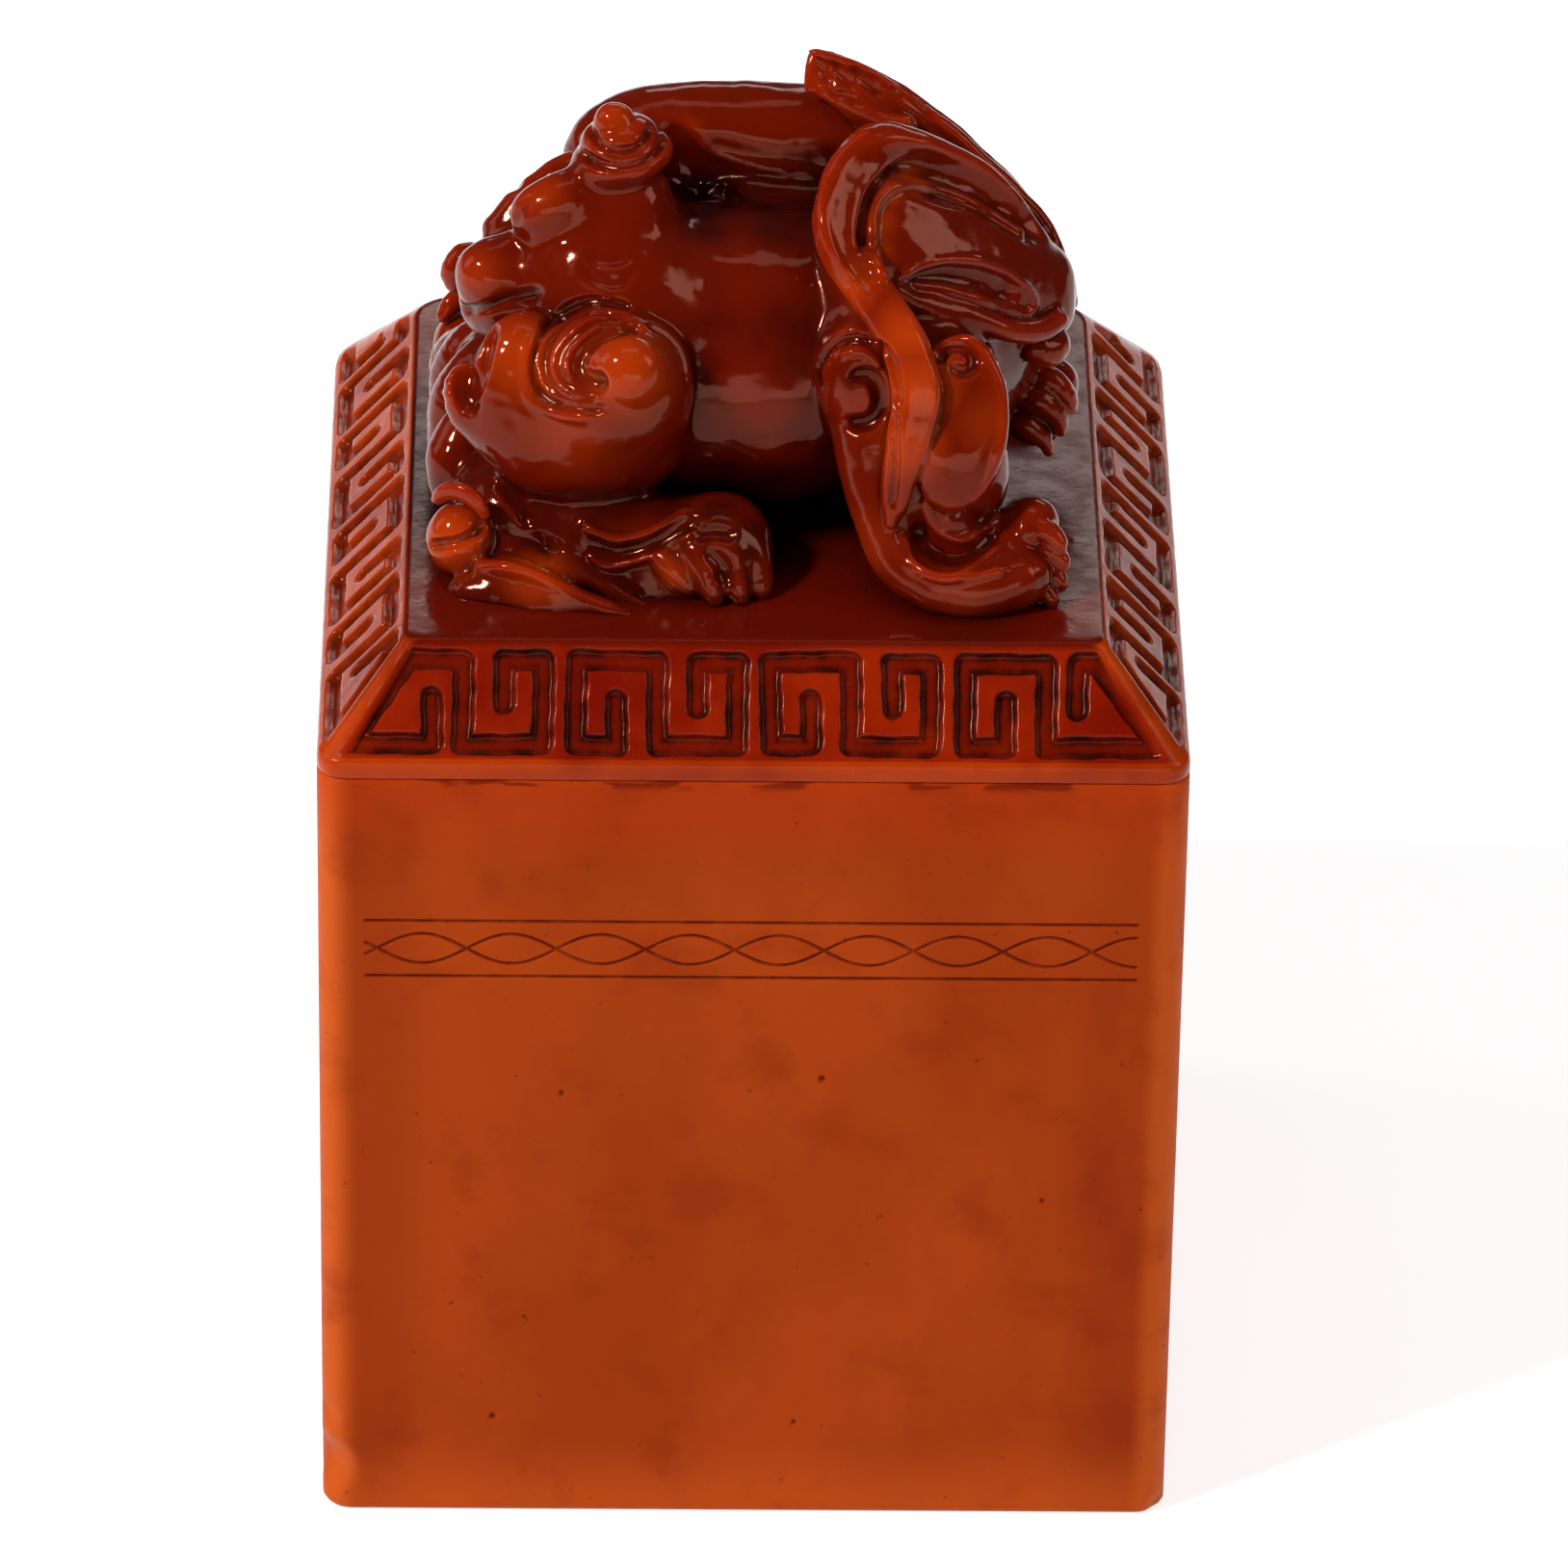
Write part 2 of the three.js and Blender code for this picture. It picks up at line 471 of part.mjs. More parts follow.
// Tail: a plume that rises over the rump, its leaf tip turned back over the spine, with a curled rim
// round a hollow face, and rolled locks under it
function tailPlume() {
  const rim = [[5.7, -9.2, 17.3, 1.1, 0.9], [4.5, -8.4, 19.4, 1.3, 1], [4.5, -6.8, 21, 1.4, 1.1],
    [5.5, -4.6, 22.4, 1.5, 1.1], [7.7, -2.6, 23, 1.5, 1.1], [11.1, -1, 20.8, 1.5, 1.1],
    [14.2, -0.4, 17.7, 1.4, 1.1], [16.5, -0.2, 14.3, 1.1, 1]];
  const backing = [rim[1], rim[3], rim[5]].map(([x, y, z]) => limb([[x + 0.9, y + 1.2, z - 1.4, 1.6],
    [(x + 11) / 2, (y + 1) / 2, (z + 11) / 2, 3.6], [11, 0.5, 11, 4]], { sides: 7, steps: 3 }));
  return [
    swell([9.6, 0.3, 9.8], [7.7, 7.1, 9.1], [0, 12, 0], 12, 9),
    limb([[3.1, 4.3, 23.8, 1.4, 0.4], [4.1, 4.1, 23.8, 1.5, 0.5], [5.5, 3.9, 23.1, 1.6, 0.7],
      [7.2, 3.7, 21.8, 1.9, 0.8], [9, 3.4, 20.6, 2, 0.9], [12.1, 3, 18, 2, 1], [14.9, 2.4, 15.1, 1.9, 1],
      [16.7, 1.6, 12.6, 1.7, 1], [17.5, 0.4, 10.6, 1.5, 0.9]], { facing: at(0.1, 0.52, 0.85), steps: 11 }),
    limb([[7.7, -10.4, 15.1, 0.9, 0.9], ...rim], { facing: at(-1, 0.2, 0.3), sides: 6, steps: 13 }),
    limb([[6.7, -9, 16.9, 0.5], [6.3, -7.8, 19, 0.55], [6.7, -6.4, 20.6, 0.6], [7.8, -5.2, 21.2, 0.65],
      [9.9, -4.2, 21.1, 0.65], [12.4, -3.4, 19.4, 0.6], [15.3, -2.6, 16.9, 0.5]], { sides: 5, steps: 10 }),
    limb([[8.4, -6.6, 16.2, 0.4], [9.9, -6.4, 16.3, 0.9], [12.2, -6.2, 15.8, 1.3, 1.1],
      [14.4, -5.8, 14.8, 1.3, 1.1], [15.7, -5.2, 13.7, 0.9, 1]]),
    limb([[13.1, -5.4, 12.5, 0.6], [14.9, -5.2, 12, 0.8], [16.5, -4.6, 11.8, 0.8], [17.8, -3.4, 12.1, 0.7]],
      { sides: 6, steps: 5 }),
    swell([17.1, -3.5, 10.1], [1.3, 1.3, 1.1], [0, 0, 0], 8, 6),
    limb([[16.2, 1.5, 5.9, 1.7, 1.9], [17.2, 0.8, 5, 1.8, 2], [17.4, 0, 3.9, 1.6, 1.7]], { steps: 5 }),
    limb([[15.7, 0.4, 5.2, 1.2], [16.9, -1.2, 3.6, 0.9], [17.6, -2, 2.3, 0.5]], { sides: 5, steps: 3 }),
    ...backing,
  ];
}

// Locks at the front corners of the base: a bean curl, the leaf above it and two long wisps
function cornerLocks() {
  const wisp = { sides: 5, steps: 4 };
  return [
    ...swellPair([-16.9, -12.2, 2.2], [2.1, 2.1, 2.4], { around: 9, rows: 6 }),
    ...pair([[-15.7, -11.6, 0.6, 2, 1.8], [-13.5, -12.8, 0.4, 1.7, 1.6], [-10.7, -14.4, 0.1, 1.2]], wisp),
    ...pair([[-18.2, -10.4, 4, 0.5], [-17.3, -11, 4, 0.9], [-16.4, -11.6, 3.7, 0.9], [-15.8, -12, 3.4, 0.6]],
      wisp),
    ...pair([[-15.4, -13.4, 0.8, 1, 0.7], [-13.8, -14, 1, 1.1, 0.8], [-12.1, -14.8, 0.9, 0.9, 0.7],
      [-10.4, -15.6, 0.3, 0.6], [-7.6, -16.8, 0, 0.35]], wisp),
    ...pair([[-17.3, -14.4, 0, 1.1, 0.9], [-14.6, -15.2, 0, 1.2, 0.9], [-11.2, -16, 0, 0.9, 0.7],
      [-7.9, -16.8, 0, 0.3]], wisp),
  ];
}

// Scroll curls carved on the shoulder and hip balls
function jointScrolls() {
  const curls = [];
  for (const side of [-1, 1]) {
    const place = (x, y, z, shift) => at(...(side < 0 ? [x, y, z] : twin([x, y, z], shift)));
    curls.push(
      scroll(place(-9, -13.1, 13.1, FAR_SHOULDER), at(-0.1, 0.8 * side, 0.55), { outer: 3, inner: 0.9,
        turns: 1.4, start: 2, spin: side, radius: 0.6 }),
      scroll(place(5.8, -11.4, 12, [0, 0]), at(-0.05, 0.8 * side, 0.4), { outer: 2.3, inner: 0.7,
        turns: 1.3, start: 2.6, spin: -side, radius: 0.6 }),
    );
  }
  return curls;
}

// Beast knob: every form joined, cut flat at its base, with the round tenon under it
function beastKnob() {
  const forms = [
    ...trunk(),
    ...head(),
    ...chest(),
    ...forelegs(),
    ...hindlegs(),
    ...flameLocks(),
    ...tailPlume(),
    ...cornerLocks(),
    ...jointScrolls(),
  ];
  const below = new THREE.BoxGeometry(2 * PLATEAU_SIDE, 2 * PLATEAU_SIDE, PLATEAU_SIDE);
  below.translate(0, 0, -PLATEAU_SIDE / 2);
  const tenon = new THREE.CylinderGeometry(KNOB_TENON_RADIUS, KNOB_TENON_RADIUS, 2 * KNOB_TENON_DEPTH, 32);
  tenon.rotateX(Math.PI / 2);
  return join(forms).subtract(solid(below)).add(solid(tenon));
}

const stamp = new THREE.Group();
stamp.add(meshOf("seal_block", sealBlock(), SATIN_AMBER));
stamp.add(meshOf("shoulder_cap", shoulderCap(), GLOSSY_CAP));
const knob = meshOf("beast_knob", beastKnob(), GLOSSY_BEAST);
knob.position.z = PLATEAU_Z;
stamp.add(knob);

export default stamp;
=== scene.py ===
import math

import bpy
import numpy as np
import openvdb
from mathutils import Matrix, Vector


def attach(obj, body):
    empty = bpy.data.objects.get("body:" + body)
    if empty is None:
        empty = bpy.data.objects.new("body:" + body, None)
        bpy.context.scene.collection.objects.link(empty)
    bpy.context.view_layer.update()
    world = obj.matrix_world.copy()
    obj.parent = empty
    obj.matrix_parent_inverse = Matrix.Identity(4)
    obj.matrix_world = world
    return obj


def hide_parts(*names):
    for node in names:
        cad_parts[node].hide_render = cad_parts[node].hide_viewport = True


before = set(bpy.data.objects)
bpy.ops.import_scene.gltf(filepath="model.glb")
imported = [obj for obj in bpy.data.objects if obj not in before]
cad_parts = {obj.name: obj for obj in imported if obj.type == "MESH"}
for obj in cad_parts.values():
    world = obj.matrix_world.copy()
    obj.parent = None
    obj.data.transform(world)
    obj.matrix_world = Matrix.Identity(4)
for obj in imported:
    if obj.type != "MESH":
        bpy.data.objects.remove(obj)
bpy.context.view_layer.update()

MM = 0.001
TINY = 1e-6
PLATEAU_Z = 57.5

# Camera: fitted to the corners of the block and of the cap in the photograph, in mm and degrees
IMAGE_SIDE = 1628
CAMERA_AZIMUTH = -0.984
CAMERA_ELEVATION = 31.661
CAMERA_ROLL = 0.907
CAMERA_DISTANCE = 695.2
FOCAL_PIXELS = 12103.4
CAMERA_TARGET = np.array([2.157, 0, 35.491])
SENSOR_WIDTH = 36

# Carving, in mm: grid pitch, the plane about which the far limbs are mirrored, and the grid's box
PITCH = 0.16
SPINE_Y = -1
FAR_SHOULDER_SHIFT = np.array([1.6, 0, -2.4])
CARVING_LOW = np.array([-19.6, -18.6, -0.9])
CARVING_HIGH = np.array([19.6, 17.6, 25.6])
FAR = 6.0
BEYOND = 9.0
BASE_SINK = 0.12
MARGIN = 0.4
THINNEST = 0.06
THINNEST_END = 0.04
PLUME_FACE_RADIUS = 2.3
# A spoke of the plume: shares of the way from its rim to its hub, with the half sizes there
SPOKE = ((0.12, 1.1), (0.45, 2.4), (1, 3.4))
# How the skin's points are drawn to the surface: rounds, share of each move, and the least slope squared
PULL_ROUNDS = 2
PULL_SHARE = 0.8
PULL_SLOPE = 0.15

# How the lines drawn on the carving find it: where a ray starts, its step and its run, in mm
RAY_START = CAMERA_DISTANCE - 40
RAY_STEP = 0.12
RAY_RUN = 80

# Unevenness of the hand-cut surface: reach and depth of each set of waves, in mm
SURFACE_SEED = 11
SURFACE_WAVES = ((1.5, 0.03), (0.6, 0.01))

# How much stone lies about a point: the layer's name and its reach in mm
STONE_LAYERS = (("fine", 0.45), ("broad", 1.5), ("wide", 3.6))
WIDE_REACH = 3.6

# Block and cap, in mm
BLOCK_HALF = 25
BLOCK_TOP = 51
CORNER_RADIUS = 1.6
BACK_ROUND = 2.2
FOOT_BEVEL = 0.5
SHOULDER_Z = 52
CHAMFER_RUN = 5
CHAMFER_RISE = 5.5
SLOPE = math.hypot(CHAMFER_RUN, CHAMFER_RISE)
PLATEAU_HALF = BLOCK_HALF - CHAMFER_RUN
PLATEAU_CORNER = 0.8
CAP_STEP = 0.1
CAP_SIDE_COUNT = int(2 * BLOCK_HALF / CAP_STEP)
CAP_BEND_COUNT = 6
# Rows of the cap's lip, as steps out from the block's side and up from its top
LIP_ROWS = ((-1.2, 0), (-0.16, 0), (-0.04, 0.05), (0, 0.16), (0, 0.5), (0, 0.78))
# Painted glow in amber on the lip's first rows
LIP_GLOW_ROWS = 3
LIP_GLOW = 0.7
SLOPE_HEIGHTS = np.linspace(0.14, SLOPE - 0.2, int(SLOPE / CAP_STEP))
PLATEAU_INSETS = (0, 0.12, 0.3, 0.7, 1.1, *np.arange(1.6, 19, 0.6))
PLATEAU_EDGE_DROP = 0.06
PLATEAU_EDGE_REACH = 0.2
# Cosine and sine of the quarter turns from the front by the right and the back to the left
TURNS = ((1, 0), (0, 1), (-1, 0), (0, -1))

# Meander fret, in mm
FRET_COUNT = 4
FRET_PERIOD = 11.1
FRET_PITCH = 2.3
FRET_WIDTH = 1.25
FRET_DEPTH = 0.5
FRET_EDGE_MARGIN = 0.65
FRET_ARRIS_MARGIN = 1.15
FRET_OVERLAP = 1.7
FRET_SLIP = 0.07
FRET_WOBBLE = 0.05
FRET_SEED = 7
FRET_WALL = (FRET_WIDTH * 0.34, FRET_WIDTH * 0.56)
WASH_START = (0.05, 0.4)
WASH_END = (0.56, 0.8)
# Painted sheen on the side slopes: their wash weakened and their colour drawn to amber. Painted glow along
# the arrises.
SIDE_WASH_LOSS = 0.55
ARRIS_GLOW_REACH = (0.1, 1)
SIDE_PAINTED_SHEEN = 0.9

# Pits and chips in the block, in mm: x, y, z, reach, depth
PITS = (
    (4.2, -25, 30.8, 0.32, 0.2), (-10.9, -25, 29.7, 0.26, 0.16), (-14.9, -25, 6.9, 0.3, 0.18),
    (2.9, -25, 6.6, 0.26, 0.15), (17.2, -25, 22.4, 0.24, 0.12), (12, 25, 18, 0.3, 0.15),
    (25, 6, 33, 0.3, 0.15),
)
CHIPS = (
    (-24.9, -24.9, 3.2, 2.4, 0.75), (-24.9, -24.9, 6.6, 1.3, 0.3), (24.9, -24.9, 0.4, 1.2, 0.35),
    (24.9, 24.9, 5, 1.6, 0.3),
)

# Twist band, in mm
BAND_HEIGHT = 39.6
BAND_LENGTH = 44.4
BAND_RAILS = 3.75
BAND_WAVE_LENGTH = 10.3
BAND_WAVE = 1
BAND_CUT = 0.2
BAND_DEPTH = 0.12
BAND_STEP = 0.05
BAND_MARGIN = 0.5
BAND_START = 0.4
BLOCK_ROWS = 240
BLOCK_TOP_ROWS = 12
BLOCK_FRONT_COUNT = int(2 * BLOCK_HALF / BAND_STEP / 1.3)
BLOCK_BEND_COUNT = 7
BLOCK_SIDE_STRIDE = 16
FACE_INSET = 3

# Stone colours
DEEP_RED = (0.065, 0.0022, 0.0004)
WARM_RED = (0.15, 0.0065, 0.0007)
# AMBER and BRIGHT_AMBER are the painted glow of thin stone
AMBER = (0.40, 0.022, 0.0012)
BRIGHT_AMBER = (0.55, 0.05, 0.003)
# Painted shade on the beast and the plateau, and the fine dark specks of the block
DARK_SHADE_AND_SPECKS = (0.012, 0.0008, 0.0003)
CAP_RED = (0.20, 0.005, 0.0005)
CAP_ORANGE = (0.34, 0.017, 0.001)
# Darker red of the plateau's painted shade
PLATEAU_SHADE_RED = (0.12, 0.0045, 0.0005)
CAP_AMBER = (0.52, 0.055, 0.002)
FRET_WASH = (0.13, 0.004, 0.0004)
FRET_DARK = (0.022, 0.0009, 0.0003)
BLOCK_DEEP = (0.38, 0.043, 0.003)
BLOCK_ORANGE = (0.46, 0.058, 0.0045)
BLOCK_BROWN = (0.28, 0.024, 0.0025)
# Light orange: the painted glow at the block's upright corners, and its foot and chips
BLOCK_RIM = (0.64, 0.105, 0.012)
BLOCK_WARM = (0.5, 0.034, 0.002)
BLOCK_LINE = (0.13, 0.006, 0.001)
WARM_GLOSS = (1, 0.45, 0.3, 1)

# Studio: name, azimuth, elevation, distance, size, radiance
LAMPS = (
    ("key", -58, 44, 0.8, (0.1, 0.1), 155),
    ("front", 5, 9, 1.2, (1.3, 0.34), 2.3),
    ("top", 180, 84, 0.8, (0.5, 0.16), 1.4),
    ("left", -100, 25, 0.9, (0.3, 0.5), 1.5),
    ("right", 75, 36, 0.9, (0.3, 0.5), 3.4),
    ("back", 168, 28, 0.9, (0.7, 0.17), 2.6),
)

# Painted glow, where light would come through the beast: image x and y, depth, reach in mm, strength
PAINTED_GLOWS = (
    (655, 385, -13.5, 4.2, 0.75), (545, 372, -11.6, 4, 0.65), (600, 440, -12.5, 4.5, 0.35),
    (948, 345, -11.8, 3, 0.8), (955, 400, -13.2, 3.4, 0.8), (942, 460, -14.2, 3.2, 0.7),
    (470, 560, -13.5, 3.2, 0.75), (644, 126, -2.5, 2, 0.6), (560, 600, -15.2, 3, 0.6),
    (700, 598, -15.5, 1.8, 0.4), (906, 235, -6, 2, 0.75), (916, 206, -4.6, 1.8, 0.7),
    (907, 262, -7, 1.8, 0.7), (945, 192, -3.4, 1.8, 0.6), (1000, 625, -17, 3, 0.2),
    (1020, 440, -13, 2.6, 0.4), (885, 300, -9.4, 2.6, 0.6), (905, 560, -14.2, 3, 0.3),
    (560, 200, -5.2, 2.4, 0.3), (500, 285, -5.6, 2.2, 0.3),
)
# Painted shade in the valley, under the belly, among the legs and about the paws: image x and y, depth, reach
# in mm, strength
PAINTED_SHADES = (
    (715, 185, -1.2, 3.4, 0.75), (760, 200, -1.2, 3.2, 0.85), (800, 205, -1.2, 3.2, 0.85),
    (842, 208, -1.2, 3.2, 0.85), (740, 228, -3.4, 2.6, 0.6), (800, 228, -3.4, 2.6, 0.6),
    (845, 228, -3.4, 2.4, 0.5), (760, 470, -9, 4.2, 0.7), (800, 480, -8.6, 4.4, 0.8),
    (840, 480, -8.4, 4.2, 0.75), (640, 530, -12, 3.6, 0.55), (580, 540, -10.6, 3.2, 0.5),
    (700, 530, -12.4, 3.2, 0.6), (770, 585, -14, 3, 0.8), (744, 604, -15, 2.4, 0.7),
    (1060, 440, -1, 4.4, 0.6), (480, 470, -9, 3.6, 0.4), (612, 640, -15, 2.4, 0.4),
    (655, 590, -13.6, 2.4, 0.35), (885, 392, -12, 1.9, 0.6), (1092, 600, -14.6, 2.2, 0.5),
    (745, 530, -13.6, 3.4, 0.75), (775, 560, -14.4, 3, 0.8), (724, 556, -14.4, 2.6, 0.6),
    (960, 225, -2.8, 3.6, 0.5), (1015, 262, -2.2, 3.4, 0.5),
)
WORLD_LEVEL = 0.06
FLOOR_GLOW = 0.68
FLOOR_WHITE = (0.85, 0.85, 0.85, 1)
FLOOR_SIZE = 6
LAMP_AIM = (0, 0, 0.05)


def camera_axes():
    """Right, up and back of the camera before its roll."""
    az = math.radians(CAMERA_AZIMUTH)
    el = math.radians(CAMERA_ELEVATION)
    back = np.array([math.sin(az) * math.cos(el), -math.cos(az) * math.cos(el), math.sin(el)])
    right = np.array([math.cos(az), math.sin(az), 0])
    return right, np.cross(back, right), back


RIGHT, UP, BACK = camera_axes()
EYE = CAMERA_TARGET + BACK * CAMERA_DISTANCE - np.array([0, 0, PLATEAU_Z])


def sight(pixels):
    """Unit rays from the eye through image points, in the carving's frame."""
    pixels = np.atleast_2d(np.asarray(pixels, float)) - IMAGE_SIDE / 2
    roll = math.radians(CAMERA_ROLL)
    across = math.cos(roll) * pixels[:, 0] + math.sin(roll) * pixels[:, 1]
    down = -math.sin(roll) * pixels[:, 0] + math.cos(roll) * pixels[:, 1]
    rays = across[:, None] * RIGHT - down[:, None] * UP - FOCAL_PIXELS * BACK
    return rays / np.linalg.norm(rays, axis=1, keepdims=True)


def placed(stations):
    """Stations given as image x, image y, depth Y and half sizes, turned to carving coordinates."""
    stations = np.asarray(stations, float)
    rays = sight(stations[:, :2])
    reach = (stations[:, 2] - EYE[1]) / rays[:, 1]
    places = EYE + rays * reach[:, None]
    return [list(place) + list(sizes) for place, sizes in zip(places, stations[:, 3:])]


def spot(x, y, depth):
    """The place in the carving at an image point and a depth Y."""
    return placed([(x, y, depth)])[0]


def catmull(points, spacing):
    """A smooth curve through points, which may carry sizes, sampled about every spacing."""
    points = np.asarray(points, float)
    padded = np.vstack([2 * points[0] - points[1], points, 2 * points[-1] - points[-2]])
    out = []
    for i in range(1, len(padded) - 2):
        p0, p1, p2, p3 = padded[i - 1:i + 3]
        width = min(3, points.shape[1])
        count = max(2, int(math.ceil(np.linalg.norm((p2 - p1)[:width]) / spacing)))
        for t in np.arange(count) / count:
            out.append(0.5 * (2 * p1 + (p2 - p0) * t + (2 * p0 - 5 * p1 + 4 * p2 - p3) * t * t
                              + (3 * p1 - p0 - 3 * p2 + p3) * t ** 3))
    out.append(points[-1])
    return np.array(out)


def soft_min(a, b, blend):
    """The lower of two distances, with a rounded crease."""
    if blend <= 0:
        return np.minimum(a, b)
    part = np.maximum(blend - np.abs(a - b), 0) / blend
    return np.minimum(a, b) - part * part * blend * 0.25


class Clay:
    """A carving held as distances in mm on a grid, negative inside."""

    def __init__(self, low, high, pitch):
        self.low = np.asarray(low, np.float32)
        self.pitch = pitch
        counts = np.ceil((np.asarray(high) - low) / pitch).astype(int) + 1
        self.field = np.full(counts, FAR, np.float32)

    def window(self, low, high):
        """The slices of the grid inside a box, and its coordinates there."""
        shape = np.array(self.field.shape)
        first = np.clip(np.floor((np.asarray(low) - self.low) / self.pitch), 0, shape).astype(int)
        last = np.clip(np.ceil((np.asarray(high) - self.low) / self.pitch) + 1, 0, shape).astype(int)
        if np.any(last <= first):
            return None, None
        axes = [self.low[i] + self.pitch * np.arange(first[i], last[i], dtype=np.float32) for i in range(3)]
        grids = axes[0][:, None, None], axes[1][None, :, None], axes[2][None, None, :]
        return tuple(slice(a, b) for a, b in zip(first, last)), grids

    def shared(self, low, high, slices):
        """The part of a window that a box covers, as slices inside it, and the coordinates there."""
        inner, grids = self.window(low, high)
        if inner is None:
            return None, None
        first = [max(own.start, outer.start) for own, outer in zip(inner, slices)]
        last = [min(own.stop, outer.stop) for own, outer in zip(inner, slices)]
        if any(b <= a for a, b in zip(first, last)):
            return None, None
        place = tuple(slice(a - outer.start, b - outer.start) for a, b, outer in zip(first, last, slices))
        spans = [range(a - own.start, b - own.start) for a, b, own in zip(first, last, inner)]
        return place, [np.take(grids[axis], spans[axis], axis=axis) for axis in range(3)]

    def merge(self, low, high, distance, blend, cut):
        """Joins a form, given as a distance function, to the carving, or cuts it out."""
        slices, grids = self.window(np.asarray(low) - blend - MARGIN, np.asarray(high) + blend + MARGIN)
        if slices is None:
            return
        found = distance(grids, slices)
        if cut:
            self.field[slices] = -soft_min(-self.field[slices], found, blend)
        else:
            self.field[slices] = soft_min(self.field[slices], found, blend)

    def swell(self, centre, radii, tilt=(0, 0, 0), blend=1.0, cut=False):
        """Adds or cuts an ellipsoid, tilted by angles in degrees about X, Y and Z."""
        turn = np.eye(3)
        for angle, axis in zip(tilt, "XYZ"):
            turn = turn @ np.array(Matrix.Rotation(math.radians(angle), 3, axis))
        centre = np.asarray(centre, float)
        radii = np.asarray(radii, float)
        reach = np.sqrt(((turn * radii[None, :]) ** 2).sum(axis=1))

        def distance(grids, _):
            p = [g - np.float32(c) for g, c in zip(grids, centre)]
            near = far = 0
            for i in range(3):
                local = sum(np.float32(turn[j, i]) * p[j] for j in range(3))
                near = near + (local / np.float32(radii[i])) ** 2
                far = far + (local / np.float32(radii[i] ** 2)) ** 2
            near = np.sqrt(near)
            return near * (near - 1) / np.maximum(np.sqrt(far), TINY)

        self.merge(centre - reach, centre + reach, distance, blend, cut)

    def sweep(self, stations, facing=(0, 0, 1), blend=0.6, cut=False, spacing=0.5, round_ends=True):
        """Adds or cuts an oval section carried along a curve. A station is x, y, z, half size along the
        facing vector and, where it differs, half size across it."""
        stations = [list(s) + [s[3]] if len(s) == 4 else list(s) for s in stations]
        path = catmull(stations, spacing)
        places = path[:, :3]
        sizes = np.maximum(path[:, 3:5], THINNEST)
        along = np.gradient(places, axis=0)
        along /= np.linalg.norm(along, axis=1, keepdims=True)
        facing = np.asarray(facing, float)
        across = facing[None, :] - along * (along @ facing)[:, None]
        across /= np.linalg.norm(across, axis=1, keepdims=True)
        axes = across, np.cross(along, across), along
        if round_ends:
            sizes = rounded_ends(places, sizes)
        reach = sizes.max()

        def distance(_, slices):
            return self.tube(places, sizes, axes, slices, blend)

        self.merge(places.min(0) - reach, places.max(0) + reach, distance, blend, cut)

    def tube(self, places, sizes, axes, slices, blend):
        """Distances to a swept oval in one window of the grid."""
        out = np.full([s.stop - s.start for s in slices], FAR, np.float32)
        for i in range(len(places) - 1):
            a = places[i]
            b = places[i + 1]
            reach = max(sizes[i].max(), sizes[i + 1].max()) + blend + MARGIN
            place, grids = self.shared(np.minimum(a, b) - reach, np.maximum(a, b) + reach, slices)
            if place is None:
                continue
            p = [g - np.float32(c) for g, c in zip(grids, a)]
            run = b - a
            t = np.clip(sum(np.float32(run[j] / float(run @ run)) * p[j] for j in range(3)), 0, 1)
            local = [along_turning(p, t, run, axis[i], axis[i + 1]) for axis in axes]
            half = [np.float32(sizes[i, k]) + t * np.float32(sizes[i + 1, k] - sizes[i, k]) for k in range(2)]
            half.append(np.minimum(*half))
            near = np.sqrt(sum((x / size) ** 2 for x, size in zip(local, half)))
            far = np.sqrt(sum((x / size ** 2) ** 2 for x, size in zip(local, half)))
            found = near * (near - 1) / np.maximum(far, TINY)
            out[place] = np.minimum(out[place], found)
        return out

    def soften(self, low, high, reach, feather=1.5):
        """Evens out the surface inside a box, less and less towards its sides."""
        slices, grids = self.window(low, high)
        part = 1
        for grid in grids:
            room = np.minimum(grid - grid.min(), grid.max() - grid)
            part = part * smooth_step(0, feather, room)
        old = self.field[slices]
        radius = max(1, round(reach / self.pitch))
        self.field[slices] = old + part * (blurred(blurred(old, radius), radius) - old)

    def sample(self, points):
        """The field at points, by the eight grid values about each."""
        at = (np.asarray(points, np.float32) - self.low) / self.pitch
        at = np.clip(at, 0, np.array(self.field.shape) - 1.001)
        base = at.astype(int)
        part = at - base
        value = 0
        for corner in range(8):
            offset = np.array([corner & 1, (corner >> 1) & 1, corner >> 2])
            weight = np.prod(np.where(offset, part, 1 - part), axis=1)
            value = value + weight * self.field[tuple((base + offset).T)]
        return value

    def slope(self, points, step=0.2):
        """Outward unit directions at points."""
        points = np.asarray(points, float)
        parts = []
        for axis in np.eye(3) * step:
            parts.append(self.sample(points + axis) - self.sample(points - axis))
        out = np.stack(parts, axis=1)
        return out / np.maximum(np.linalg.norm(out, axis=1, keepdims=True), 1e-9)

    def seen(self, pixels, mirrored=False, shift=(0, 0, 0)):
        """Where the rays through image points meet the carving, and which of them do."""
        rays = sight(pixels)
        ends = EYE[None, :] + rays * RAY_START
        if mirrored:
            ends[:, 1] = 2 * SPINE_Y - ends[:, 1]
            ends = ends + np.asarray(shift)
            rays = rays * np.array([1, -1, 1])
        hit = np.zeros(len(rays), bool)
        for _ in range(int(RAY_RUN / RAY_STEP)):
            hit |= (self.sample(ends) < 0) & self.within(ends)
            ends = np.where(hit[:, None], ends, ends + rays * RAY_STEP)
            if hit.all():
                break
        return ends - rays * RAY_STEP / 2, hit

    def within(self, points):
        """Which points lie inside the grid."""
        high = self.low + self.pitch * (np.array(self.field.shape) - 1)
        return np.all((points > self.low) & (points < high), axis=1)

